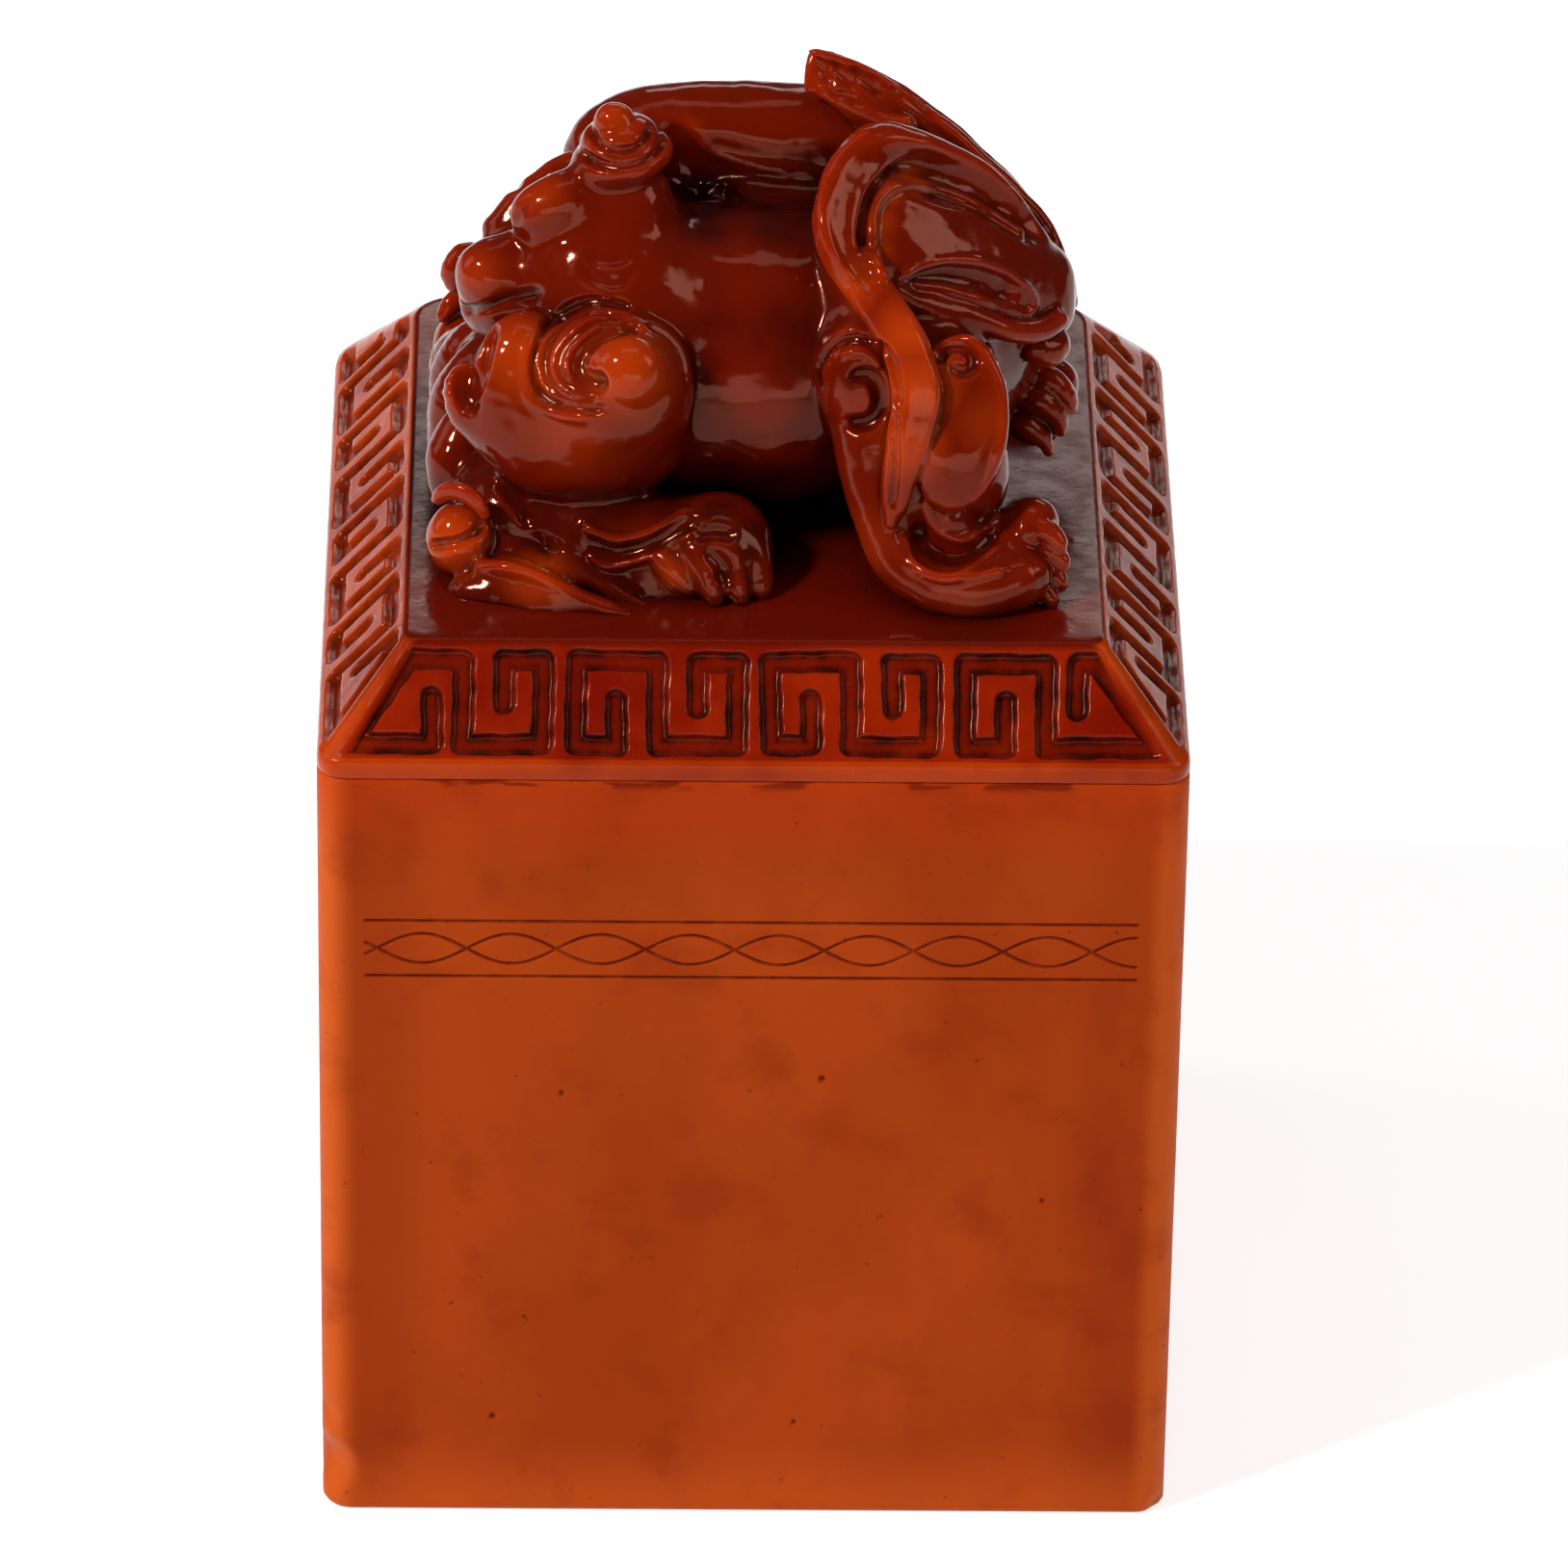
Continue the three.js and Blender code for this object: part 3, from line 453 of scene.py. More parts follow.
    def line(self, pixels, radius, depth, blend=0.15, raised=False, both=True, ends=0.5, shift=(0, 0, 0)):
        """Draws a groove or a ridge on the surface where the image points fall on it. depth is how far
        the round tool sinks in, or how far the ridge stands out."""
        flat = np.hstack([np.asarray(pixels, float), np.zeros((len(pixels), 1))])
        path = catmull(flat, 6)[:, :2]
        for mirrored in ((False, True) if both else (False,)):
            spots, hit = self.seen(path, mirrored, shift)
            spots = unbroken(spots[hit])
            if len(spots) >= 3:
                self.follow(spots, radius, depth, blend, raised, ends)

    def follow(self, spots, radius, depth, blend, raised, ends):
        """Runs the round tool over places on the surface, in and out again at the ends."""
        for _ in range(2):
            spots[1:-1] = (spots[:-2] + 2 * spots[1:-1] + spots[2:]) / 4
        out = self.slope(spots, 0.5)
        gone = np.concatenate([[0], np.cumsum(np.linalg.norm(np.diff(spots, axis=0), axis=1))])
        fade = np.clip(np.minimum(gone, gone[-1] - gone) / max(ends, TINY), 0, 1)
        fade = fade * (2 - fade)
        reach = radius * (0.55 + 0.45 * fade)
        sink = depth * fade
        spots = spots + out * ((sink - reach) if raised else (reach - sink))[:, None]
        keep = np.concatenate([[True], np.linalg.norm(np.diff(spots, axis=0), axis=1) > 1e-4])
        stations = [list(p) + [r] for p, r in zip(spots[keep], reach[keep])]
        self.sweep(stations, facing=BACK, blend=blend, cut=not raised, spacing=0.4, round_ends=False)


def unbroken(spots, gap=1.4):
    """The longest stretch of a path that has no jump from one form to another behind it."""
    jumps = np.flatnonzero(np.linalg.norm(np.diff(spots, axis=0), axis=1) > gap) + 1
    return max(np.split(spots, jumps), key=len)


def rounded_ends(places, sizes):
    """Half sizes along a path, drawn in to a dome at either end."""
    from_start = np.linalg.norm(places - places[0], axis=1)
    from_end = np.linalg.norm(places - places[-1], axis=1)
    share = np.minimum(np.minimum(from_start, from_end) / sizes[:, 1], 1)
    return np.maximum(sizes * np.sqrt(np.maximum(1 - (1 - share) ** 2, 0))[:, None], THINNEST_END)


def along_turning(p, t, run, first, last):
    """How far points lie along a direction that turns from the first to the last over a run."""
    start = sum(np.float32(first[j]) * p[j] for j in range(3)) - t * np.float32(run @ first)
    end = sum(np.float32(last[j]) * p[j] for j in range(3)) - t * np.float32(run @ last)
    return start + t * (end - start)


def pair(clay, stations, facing=(0, 0, 1), shift=(0, 0, 0), **rest):
    """A form on the near side of the spine and its twin on the far side."""
    clay.sweep(stations, facing=facing, **rest)
    twin = [[s[0] + shift[0], 2 * SPINE_Y - s[1], s[2] + shift[2]] + list(s[3:]) for s in stations]
    clay.sweep(twin, facing=(facing[0], -facing[1], facing[2]), **rest)


def swell_pair(clay, centre, radii, tilt=(0, 0, 0), shift=(0, 0, 0), **rest):
    """An ellipsoid on the near side of the spine and its twin on the far side."""
    clay.swell(centre, radii, tilt, **rest)
    twin = [centre[0] + shift[0], 2 * SPINE_Y - centre[1], centre[2] + shift[2]]
    clay.swell(twin, radii, (-tilt[0], tilt[1], -tilt[2]), **rest)


def trunk(clay):
    """The body and the roll of the back with the valley beside it."""
    clay.swell([-0.5, -0.6, 8.4], [13.2, 10.2, 8.8], blend=1.5)
    clay.sweep([[-9, -3.4, 12.2, 4.1], [-3, -3.2, 12.9, 3.9], [3, -3.2, 12.9, 3.9], [9.5, -3.2, 12.1, 4.0]],
        blend=2.5)
    clay.swell([0.5, 6.2, 11.6], [11.5, 4.8, 9], blend=1.5)
    clay.sweep(placed([(616, 190, 4.6, 2.4), (640, 158, 5, 3.0), (690, 142, 5.2, 3.1),
        (770, 138, 5.3, 3.05), (850, 142, 5.2, 3), (930, 165, 4.8, 2.8)]), blend=0.8)
    clay.sweep([[-6, 0.8, 15.0, 2.5], [1, 0.9, 15.3, 2.5], [8, 0.9, 15.1, 2.5]], blend=2.5)
    clay.line([(700, 176), (742, 188), (790, 197), (850, 199), (900, 198)], 1.5, 0.55, blend=1.2, both=False)
    clay.line([(722, 148), (745, 160), (780, 170), (815, 176), (856, 181)], 0.3, 0.2, blend=0.5,
        raised=True, both=False)


def head(clay):
    """Skull, muzzle, brow, nose, lips and cheek."""
    clay.swell([-7.4, -3.4, 12.6], [6.2, 6.6, 6], blend=1.5)
    clay.swell([-9.8, -2.8, 14.8], [5.0, 5.0, 4.3], (0, -28, 0), blend=1.2)
    clay.sweep([[-10, -2.8, 14.2, 4.0], [-13.2, -3, 13.2, 3.4], [-16, -3, 12, 2.2]], blend=1.2)
    clay.sweep([[-10.5, -3.4, 10, 3.2], [-13.2, -3.6, 9, 2.6], [-15.2, -3.4, 8.6, 1.8]], blend=0.6)
    clay.sweep(placed([(612, 170, 1.6, 1.1), (585, 181, 1.3, 1.1), (564, 196, 1.0, 1.1),
        (545, 210, 0.7, 1.1), (527, 230, 0.2, 1.05), (517, 252, -0.3, 0.95), (512, 270, -0.8, 0.9)]),
        blend=1)
    clay.sweep(placed([(622, 192, -2.6, 1.7), (588, 207, -3.5, 1.9)]), blend=2)
    clay.swell(spot(566, 216, -3.9), [2.1, 1.5, 1.6], (0, -30, 0), blend=1.4)
    clay.swell(spot(514, 233, 0.2), [0.9, 0.7, 0.6], (0, -45, 0), blend=0.15)
    clay.sweep(placed([(496, 261, -0.6, 0.75, 0.85), (482, 269, -0.9, 0.95, 1.0),
        (475, 284, -1.1, 0.95, 1.05), (476, 300, -1.4, 0.8, 0.85)]), blend=0.3)
    clay.sweep([[-15.2, -1.2, 14, 1.1], [-16.6, -1, 13.6, 0.95]], blend=0.5)
    clay.sweep(placed([(518, 264, -3.8, 1.6, 1.6), (504, 282, -4.3, 1.85, 1.85),
        (497, 299, -4.4, 1.5, 1.4)]), blend=1.8)
    ears(clay)


def ears(clay):
    """The near and the far ear, each a stack of domes."""
    for place, lean in ((spot(644, 147, -2.2), -0.25), ([-6.6, 7.0, 17.2], 0.4)):
        x, y, z = place
        clay.sweep([[x + 0.8, y - 0.6, z - 6, 3.2], [x + 0.3, y - 0.2, z - 2, 2.4]], blend=1.5)
        tilt = (-8 if lean < 0 else 8, -14, 0)
        clay.swell([x + 0.1, y, z - 1.0], [3, 2.8, 1.7], tilt, blend=0.5)
        clay.swell([x - 0.05, y + lean * 0.2, z + 0.1], [2.3, 2.2, 1.5], tilt, blend=0.2)
        clay.swell([x - 0.3, y + lean * 0.6, z + 1.3], [1.2, 1.15, 1.3], tilt, blend=0.2)


def chest(clay):
    """The chest and the locks of the mane that hang on it."""
    clay.swell([-14.6, -0.6, 3.4], [3.4, 6.0, 6.2], (0, 0, 4), blend=1)
    for y, lean, top in ((-5.2, -0.5, 7), (-1.8, -0.2, 8.4), (1.8, 0.3, 8.4), (5.2, 0.7, 7)):
        clay.sweep([[-15.6, y * 0.7, top, 1.0], [-16.9, y, top - 3, 1.9], [-17.1, y + lean, 2.6, 1.9],
            [-17.3, y + 1.6 * lean, 0.6, 1.5]], blend=0.35)
    swell_pair(clay, [-13.6, -8.4, 2.2], [3.8, 4.0, 3.2], blend=1)


def forelegs(clay):
    """Scroll shoulders with their hooked lobes, forearms and paws."""
    shift = FAR_SHOULDER_SHIFT
    swell_pair(clay, spot(654, 386, -12.75), [2.15, 2.1, 2.2], shift=shift, blend=0.5)
    swell_pair(clay, [-8.2, -10.2, 11], [4.7, 4.3, 4.8], shift=shift, blend=0.4)
    swell_pair(clay, spot(602, 440, -9.9), [6.3, 3.6, 5], (0, 8, 0), shift=shift, blend=0.8)
    pair(clay, placed([(550, 335, -8, 1.7, 1.6), (543, 365, -9.4, 2.3, 1.9), (536, 405, -10, 2.7, 2.1),
        (545, 430, -10.4, 2.6, 2.2)]), facing=(1, 0, 0), shift=shift, blend=0.8)
    pair(clay, placed([(488, 384, -8.9, 0.7, 0.8), (479, 402, -9.2, 1.0, 1.0), (489, 426, -9.6, 1.4, 1.2),
        (528, 440, -10.2, 2.3, 2.1), (592, 452, -10.6, 3.6, 3.2)]), shift=shift, blend=0.5)
    pair(clay, placed([(562, 524, -9.4, 2.6, 2.5), (610, 548, -10.8, 2.9, 2.9), (670, 562, -11.8, 2.8, 2.8),
        (730, 560, -12.2, 2.8, 2.8)]), blend=0.8)
    swell_pair(clay, spot(746, 562, -12.4), [3.1, 3.2, 2.8], blend=0.9)
    pair(clay, placed([(585, 596, -12.2, 1.7, 1.5), (650, 610, -13.4, 1.9, 1.6),
        (715, 612, -13.9, 2.0, 1.7), (768, 606, -13.8, 1.8, 1.6)]), blend=1)
    toes = (
        [(716, 560, -14.0, 1.0, 0.9), (728, 586, -14.9, 1.1, 0.9), (738, 608, -15.6, 0.9, 0.8),
            (744, 628, -16.3, 0.35, 0.4)],
        [(746, 558, -14.0, 1.1, 1.0), (758, 586, -14.7, 1.1, 0.9), (765, 608, -15.4, 0.9, 0.8),
            (770, 627, -16.1, 0.35, 0.4)],
        [(770, 556, -13.4, 1.0, 1.0), (784, 582, -14.1, 1.0, 0.9), (789, 604, -14.8, 0.8, 0.8),
            (791, 622, -15.5, 0.35, 0.4)],
    )
    for toe in toes:
        pair(clay, placed(toe), blend=0.55)
    pair(clay, placed([(682, 572, -14.0, 0.8, 0.8), (694, 588, -14.7, 0.95, 0.8),
        (706, 602, -15.2, 0.7, 0.6), (720, 616, -15.8, 0.15, 0.2)]), blend=0.12)


def hindlegs(clay):
    """Hips, shanks and hind feet with their small toes."""
    swell_pair(clay, [9.6, -7, 8.6], [4.2, 4.4, 6.4], blend=0.8)
    swell_pair(clay, [6.2, -8.8, 11], [2.9, 3.6, 4.2], blend=0.5)
    pair(clay, [[6.2, -9.8, 10, 2.3, 2.3], [7.6, -11.2, 6.6, 2.7, 2.4], [9.4, -12.8, 3.8, 2.9, 2.3],
        [12.2, -13.8, 2.2, 2.4, 2.2], [15.2, -13.6, 2.0, 2.0, 2.1]], blend=0.6)
    swell_pair(clay, [11.2, -11, 5.6], [3.4, 3.0, 4.2], (0, 15, 0), blend=0.6)
    pair(clay, placed([(895, 430, -10.6, 1.5, 1.5), (900, 485, -12.0, 1.7, 1.6),
        (914, 535, -13.4, 1.75, 1.6), (936, 582, -14.8, 1.75, 1.6), (970, 606, -15.9, 1.75, 1.6),
        (1012, 613, -16.3, 1.75, 1.6), (1052, 606, -15.9, 1.7, 1.5), (1080, 590, -15.0, 1.3, 1.3)]),
        blend=0.7)
    pair(clay, placed([(1040, 575, -13, 1.6, 1.8), (1070, 545, -12.8, 1.8, 1.8),
        (1082, 533, -12.4, 1.4, 1.5)]), blend=0.5)
    pair(clay, placed([(1030, 590, -14.4, 2.0, 2.0), (1068, 586, -14.4, 1.6, 1.7)]), blend=0.4)
    for x, y, near in ((1094, 556, 0.2), (1097, 576, 0.5), (1095, 596, 1), (1086, 614, 1.7)):
        pair(clay, placed([(x - 24, y - 12, -13.4 - near, 0.75), (x - 6, y - 3, -13.8 - near, 0.7),
            (x + 5, y + 7, -14.2 - near, 0.5), (x + 7, y + 17, -14.4 - near, 0.25)]), blend=0.1)


def flame_locks(clay):
    """The lobe beside the ribbon first, then the ribbon that lies over its left edge."""
    swell_pair(clay, spot(975, 470, -11.4), [2.8, 1.6, 3.4], blend=0.5)
    pair(clay, placed([(958, 410, -11.4, 1.0, 0.9), (962, 450, -12.3, 1.2, 1.1),
        (958, 490, -13.1, 1.2, 1.1), (950, 530, -13.7, 1.0, 1.0)]), blend=0.4)
    pair(clay, placed([(984, 358, -10.4, 1.5, 0.9), (994, 385, -11.4, 2.5, 1.0),
        (997, 430, -12.8, 2.8, 1.0), (994, 475, -13.9, 2.6, 1.0), (987, 508, -14.5, 1.9, 0.9),
        (982, 526, -14.7, 1.0, 0.8)]), facing=(1, 0.12, 0), blend=0.25)
    pair(clay, placed([(880, 262, -7.9, 1.2, 0.7), (902, 300, -9.6, 1.3, 0.75),
        (926, 335, -11.0, 1.35, 0.8), (944, 372, -12.3, 1.45, 0.85), (951, 412, -13.3, 1.45, 0.85),
        (943, 460, -14.1, 1.25, 0.8), (931, 505, -14.6, 0.95, 0.75), (925, 548, -15.1, 0.45, 0.5)]),
        facing=(1, 0, 0.2), blend=0.15)
    pair(clay, placed([(944, 340, -11.6, 0.25), (961, 375, -12.9, 0.3), (970, 412, -13.8, 0.32),
        (961, 455, -14.5, 0.3), (944, 500, -14.9, 0.3), (934, 545, -15.3, 0.3), (938, 578, -16, 0.3),
        (958, 594, -16.8, 0.28), (1000, 600, -17.3, 0.26), (1045, 590, -16.9, 0.2)]), blend=0.35)


def tail_plume(clay):
    """The fan of the plume, its blade and its rim."""
    clay.swell([9.6, 0.3, 9.8], [7.6, 7, 9], (0, 12, 0), blend=0.8)
    rim = placed([(925, 340, -10.4, 0.8, 0.8), (890, 295, -9.2, 1.0, 0.8), (869, 255, -8.4, 1.2, 0.9),
        (869, 215, -6.8, 1.35, 1.0), (886, 174, -4.6, 1.4, 1.0), (925, 147, -2.6, 1.4, 1.0),
        (985, 168, -1.0, 1.4, 1.0), (1040, 212, -0.4, 1.3, 1.0), (1080, 264, -0.2, 1.0, 0.9)])
    hub = np.array([11, 0.5, 11])
    for station in rim[1:]:
        start = np.array(station[:3])
        clay.sweep([list(start + part * (hub - start)) + [size] for part, size in SPOKE], blend=1)
    plume_face(clay)
    clay.sweep(placed([(841, 74, 4.3, 1.3, 0.3), (860, 77, 4.1, 1.35, 0.45), (884, 90, 3.9, 1.55, 0.6),
        (915, 111, 3.7, 1.8, 0.75), (946, 134, 3.4, 1.9, 0.8), (1000, 178, 3, 1.9, 0.9),
        (1050, 230, 2.4, 1.8, 0.9), (1082, 276, 1.6, 1.6, 0.9), (1095, 318, 0.4, 1.4, 0.8)]),
        facing=(0.1, 0.52, 0.85), blend=0.2, round_ends=False)
    clay.sweep(placed([(840, 53, 4.3, 0.2), (868, 62, 4.1, 0.34), (897, 73, 4, 0.38), (934, 99, 3.7, 0.42),
        (994, 142, 3.2, 0.45), (1052, 199, 2.6, 0.5), (1083, 230, 2.2, 0.5), (1097, 262, 1.6, 0.5),
        (1109, 312, 0.4, 0.5)]), blend=0.25)
    clay.sweep(placed([(849, 92, 3.6, 0.3), (880, 104, 3.2, 0.4), (915, 124, 2.6, 0.45),
        (950, 130, 2.2, 0.5)]), blend=0.6)
    clay.sweep(rim, facing=(-1, 0.2, 0.3), blend=0.3)
    clay.sweep(placed([(1068, 362, -4.4, 0.9, 0.9), (1090, 362, -3.6, 1.1, 1.0),
        (1102, 350, -2.8, 0.7, 0.7)]), blend=0.15)
    far_paw(clay)


def plume_face(clay):
    """The plume's hollow face, a shade behind its rim, with the lip along its lower edge."""
    strips = (
        [(898, 218, -3.6), (905, 255, -5.0), (918, 292, -6.4)],
        [(918, 198, -2.4), (924, 246, -4.3), (940, 298, -6.3)],
        [(942, 196, -1.7), (948, 244, -3.7), (962, 302, -5.7)],
        [(968, 202, -1.2), (974, 250, -3.1), (986, 310, -5.1)],
        [(995, 212, -0.7), (1001, 260, -2.5), (1012, 318, -4.5)],
        [(1020, 228, -0.2), (1028, 272, -1.9), (1038, 324, -3.8)],
        [(1045, 248, 0.3), (1052, 288, -1.1), (1062, 330, -2.8)],
        [(1068, 270, 0.7), (1076, 304, -0.5), (1085, 334, -1.9)],
    )
    for strip in strips:
        clay.sweep(placed([(x, y, depth, PLUME_FACE_RADIUS) for x, y, depth in strip]), blend=2)
    clay.soften([3, -10, 4], [18.5, 5, 20], 1.0)
    clay.sweep(placed([(925, 300, -8.6, 0.4, 0.4), (965, 318, -7.8, 0.6, 0.6), (1010, 330, -6.8, 0.7, 0.7),
        (1050, 344, -6.0, 0.7, 0.7), (1080, 343, -4.8, 0.7, 0.7), (1104, 328, -3.4, 0.6, 0.7)]), blend=0.5)


def far_paw(clay):
    """The far hind foot and the fist of locks beside the plume."""
    clay.sweep(placed([(1070, 380, 1.5, 1.6, 1.8), (1088, 400, 0.8, 1.7, 1.9), (1090, 425, 0, 1.5, 1.6)]),
        blend=0.3)
    clay.sweep([[15.7, 1.2, 6.4, 1.5], [15.8, 0.2, 4.6, 1.1], [16.6, -0.8, 3.4, 0.8]], blend=0.3)
    clay.sweep(placed([(1048, 405, 0.6, 1.5, 1.6), (1070, 430, -0.2, 1.7, 1.7), (1086, 452, -1, 1.2, 1.3)]),
        blend=0.6)
    claws = (
        [(1066, 386, 0, 0.7, 0.8), (1088, 394, -0.9, 0.8, 0.8), (1108, 410, -1.1, 0.6, 0.7),
            (1112, 430, -1.2, 0.3, 0.3)],
        [(1052, 408, -0.8, 0.7, 0.8), (1078, 416, -1.6, 0.8, 0.8), (1098, 434, -1.7, 0.6, 0.6),
            (1102, 454, -1.7, 0.25, 0.3)],
        [(1044, 432, -1.2, 0.7, 0.7), (1066, 442, -2, 0.7, 0.7), (1084, 458, -2.1, 0.5, 0.5),
            (1090, 474, -2.2, 0.25, 0.25)],
    )
    for ends in claws:
        clay.sweep(placed(ends), blend=0.3)


def corner_locks(clay):
    """The bean curl at the plateau's corner, the small leaf on it, and the long leaf that runs from it."""
    pair(clay, placed([(500, 580, -11.6, 1.8, 1.6), (540, 592, -12.8, 1.6, 1.4),
        (590, 612, -14.4, 1.2, 1.1)]), blend=0.8)
    swell_pair(clay, spot(478, 560, -12.2), [2.0, 2.0, 2.3], blend=0.3)
    pair(clay, placed([(450, 522, -11.6, 0.3, 0.3), (462, 511, -12.0, 0.6, 0.45),
        (480, 511, -12.5, 0.75, 0.5), (496, 522, -12.9, 0.7, 0.5), (506, 540, -13.2, 0.3, 0.3)]),
        facing=(0, -0.4, 0.9), blend=0.12)
    pair(clay, placed([(500, 592, -13.8, 1.2, 0.6), (530, 594, -14.6, 1.5, 0.6),
        (562, 603, -15.3, 1.3, 0.5), (595, 618, -16.0, 0.8, 0.45), (628, 632, -16.8, 0.5, 0.35),
        (660, 639, -17.2, 0.2, 0.25)]), facing=(0, -0.75, 0.65), blend=0.6)
    pair(clay, placed([(515, 580, -13.6, 0.28), (550, 588, -14.4, 0.3), (575, 602, -15.2, 0.3),
        (604, 618, -16, 0.28), (640, 634, -17, 0.2)]), blend=0.4)
    pair(clay, placed([(470, 616, -14.4, 1.2, 1.0), (520, 624, -15.4, 1.4, 1.0),
        (580, 634, -16.2, 1.1, 0.8), (640, 642, -16.9, 0.4, 0.3)]), blend=0.9)
    pair(clay, placed([(580, 578, -13.2, 0.4), (612, 600, -14.4, 0.42), (648, 620, -15.5, 0.36),
        (684, 636, -16.5, 0.2)]), blend=0.9)


def carve_shoulder(clay):
    """The snail curl round the ball, line by line from the outside in, and the eye of the hooked lobe."""
    curls = (
        ([(655, 318), (612, 312), (580, 326), (560, 348), (552, 378), (557, 404), (576, 420), (604, 426),
            (630, 424)], 0.35, 0.32, 0.12),
        ([(650, 328), (612, 324), (584, 338), (568, 358), (564, 384), (573, 404), (592, 415), (620, 416)],
            0.35, 0.34, 0.12),
        ([(652, 332), (618, 334), (594, 350), (580, 368), (580, 388), (592, 402), (612, 408), (628, 405)],
            0.35, 0.36, 0.12),
        ([(662, 338), (632, 344), (612, 356), (600, 370), (600, 387), (612, 397), (626, 396)], 0.65, 0.75,
            0.25),
        ([(672, 336), (696, 350), (710, 372), (714, 400)], 0.3, 0.25, 0.12),
        ([(520, 318), (511, 342), (505, 366), (499, 388), (492, 406)], 0.75, 0.5, 0.15),
        ([(490, 378), (484, 394), (484, 408), (492, 420)], 0.9, 0.6, 0.25),
    )
    for points, radius, depth, blend in curls:
        clay.line(points, radius, depth, blend=blend, shift=FAR_SHOULDER_SHIFT)
    clay.line([(560, 340), (548, 362), (545, 392), (554, 416), (578, 430), (610, 434)], 0.35, 0.22,
        blend=0.3, raised=True, shift=FAR_SHOULDER_SHIFT)


def carve_hip(clay):
    """The hip's round collar and the hook inside it."""
    clay.line([(852, 408), (850, 378), (866, 356), (892, 350), (916, 362), (928, 388), (932, 425)], 0.4, 0.42)
    clay.line([(872, 372), (890, 364), (906, 370), (914, 384)], 0.3, 0.22, raised=True)
    clay.line([(884, 392), (902, 390), (914, 404), (914, 426), (900, 440), (882, 440)], 0.55, 0.62,
        blend=0.25)
    clay.line([(930, 430), (930, 480), (926, 530)], 0.3, 0.3)


def carve_head(clay):
    """The mouth, the brow, the cheek folds and the rings of the ear."""
    clay.line([(694, 140), (708, 160), (716, 182), (724, 204)], 1.1, 0.7, blend=0.8, both=False)
    clay.line([(478, 322), (500, 322), (526, 312), (560, 304)], 0.4, 0.4, blend=0.3)
    clay.line([(528, 246), (536, 226), (548, 210)], 0.4, 0.18, blend=0.4)
    clay.line([(606, 276), (620, 288), (640, 294), (656, 284)], 0.4, 0.22, blend=0.4)
    clay.line([(612, 262), (630, 270), (652, 268)], 0.4, 0.18, blend=0.4)
    clay.line([(598, 146), (612, 165), (642, 174), (674, 166), (692, 146)], 0.3, 0.3)
    clay.line([(612, 132), (622, 150), (645, 157), (668, 148), (678, 130)], 0.3, 0.3)


def carve_plume(clay):
    """The bright ridge inside the rim, the channel between them, and the almond with its raised edge."""
    clay.line([(1072, 240), (1030, 204), (985, 176), (938, 160), (902, 170), (884, 195), (878, 225),
        (881, 255), (892, 285)], 1.5, 0.4, blend=0.5, both=False)
    clay.line([(905, 134), (880, 152), (861, 176), (854, 202), (854, 228), (861, 256), (876, 280),
        (896, 306)], 0.26, 0.18, blend=0.3, raised=True, both=False)
    clay.line([(1062, 246), (1020, 218), (980, 200), (945, 192), (922, 198), (909, 214), (905, 240),
        (908, 268), (918, 292)], 0.36, 0.4, blend=0.2, raised=True, both=False)
    clay.line([(950, 290), (980, 286), (1015, 292), (1050, 306)], 0.9, 0.5, blend=0.4, both=False)
    clay.line([(932, 290), (950, 278), (980, 270), (1015, 271), (1045, 282), (1068, 300), (1076, 316),
        (1066, 326), (1045, 320), (1010, 309), (975, 299), (945, 296)], 0.3, 0.26, blend=0.15, raised=True,
        both=False)


def carve_blade(clay):
    """Short strokes across the blade's tip, as of torn feathers."""
    strokes = (
        [(852, 62), (856, 78), (866, 92)],
        [(866, 66), (876, 80), (892, 94)],
        [(884, 70), (900, 86), (918, 100)],
        [(902, 76), (920, 92), (940, 104)],
        [(858, 96), (880, 100), (900, 112)],
        [(930, 92), (950, 108), (972, 124)],
    )
    for stroke in strokes:
        clay.line(stroke, 0.34, 0.3, blend=0.15, both=False, ends=0.8)


def carve_folds(clay):
    """The bowl of folds over the hind foot, the sleeve folds of the forearm and the curl of the bean."""
    clay.line([(950, 548), (978, 566), (1010, 562), (1032, 545)], 1.3, 0.7, blend=0.7)
    folds = (
        [(960, 518), (966, 540), (982, 556), (1004, 560), (1026, 548), (1037, 530)],
        [(938, 556), (944, 578), (964, 596), (988, 600), (1012, 590), (1038, 568)],
    )
    for fold in folds:
        clay.line(fold, 0.32, 0.28, blend=0.2, raised=True)
    clay.line([(952, 546), (962, 566), (986, 579), (1010, 574), (1034, 554)], 0.5, 0.4, blend=0.3)
    clay.line([(1000, 349), (1022, 364), (1037, 395), (1043, 430), (1038, 466), (1024, 500), (1006, 524)],
        0.3, 0.22, blend=0.3, raised=True)
    clay.line([(974, 376), (980, 362), (996, 357), (1010, 366), (1012, 380), (1000, 387), (988, 380)], 0.42,
        0.45)
    folds = (
        [(606, 544), (622, 556), (650, 561), (680, 551), (700, 538), (716, 529)],
        [(610, 575), (630, 588), (656, 581), (684, 571), (706, 558), (736, 542)],
    )
    for fold in folds:
        clay.line(fold, 0.34, 0.3, blend=0.25, raised=True)
    folds = (
        [(612, 562), (632, 572), (660, 570), (690, 559), (724, 540)],
        [(520, 500), (538, 520), (548, 545)],
        [(724, 556), (742, 552), (762, 556)],
        [(734, 574), (748, 584), (754, 604)],
    )
    for fold in folds:
        clay.line(fold, 0.5, 0.4, blend=0.3)
    clay.line([(446, 566), (466, 565), (486, 559), (505, 545)], 0.38, 0.5)


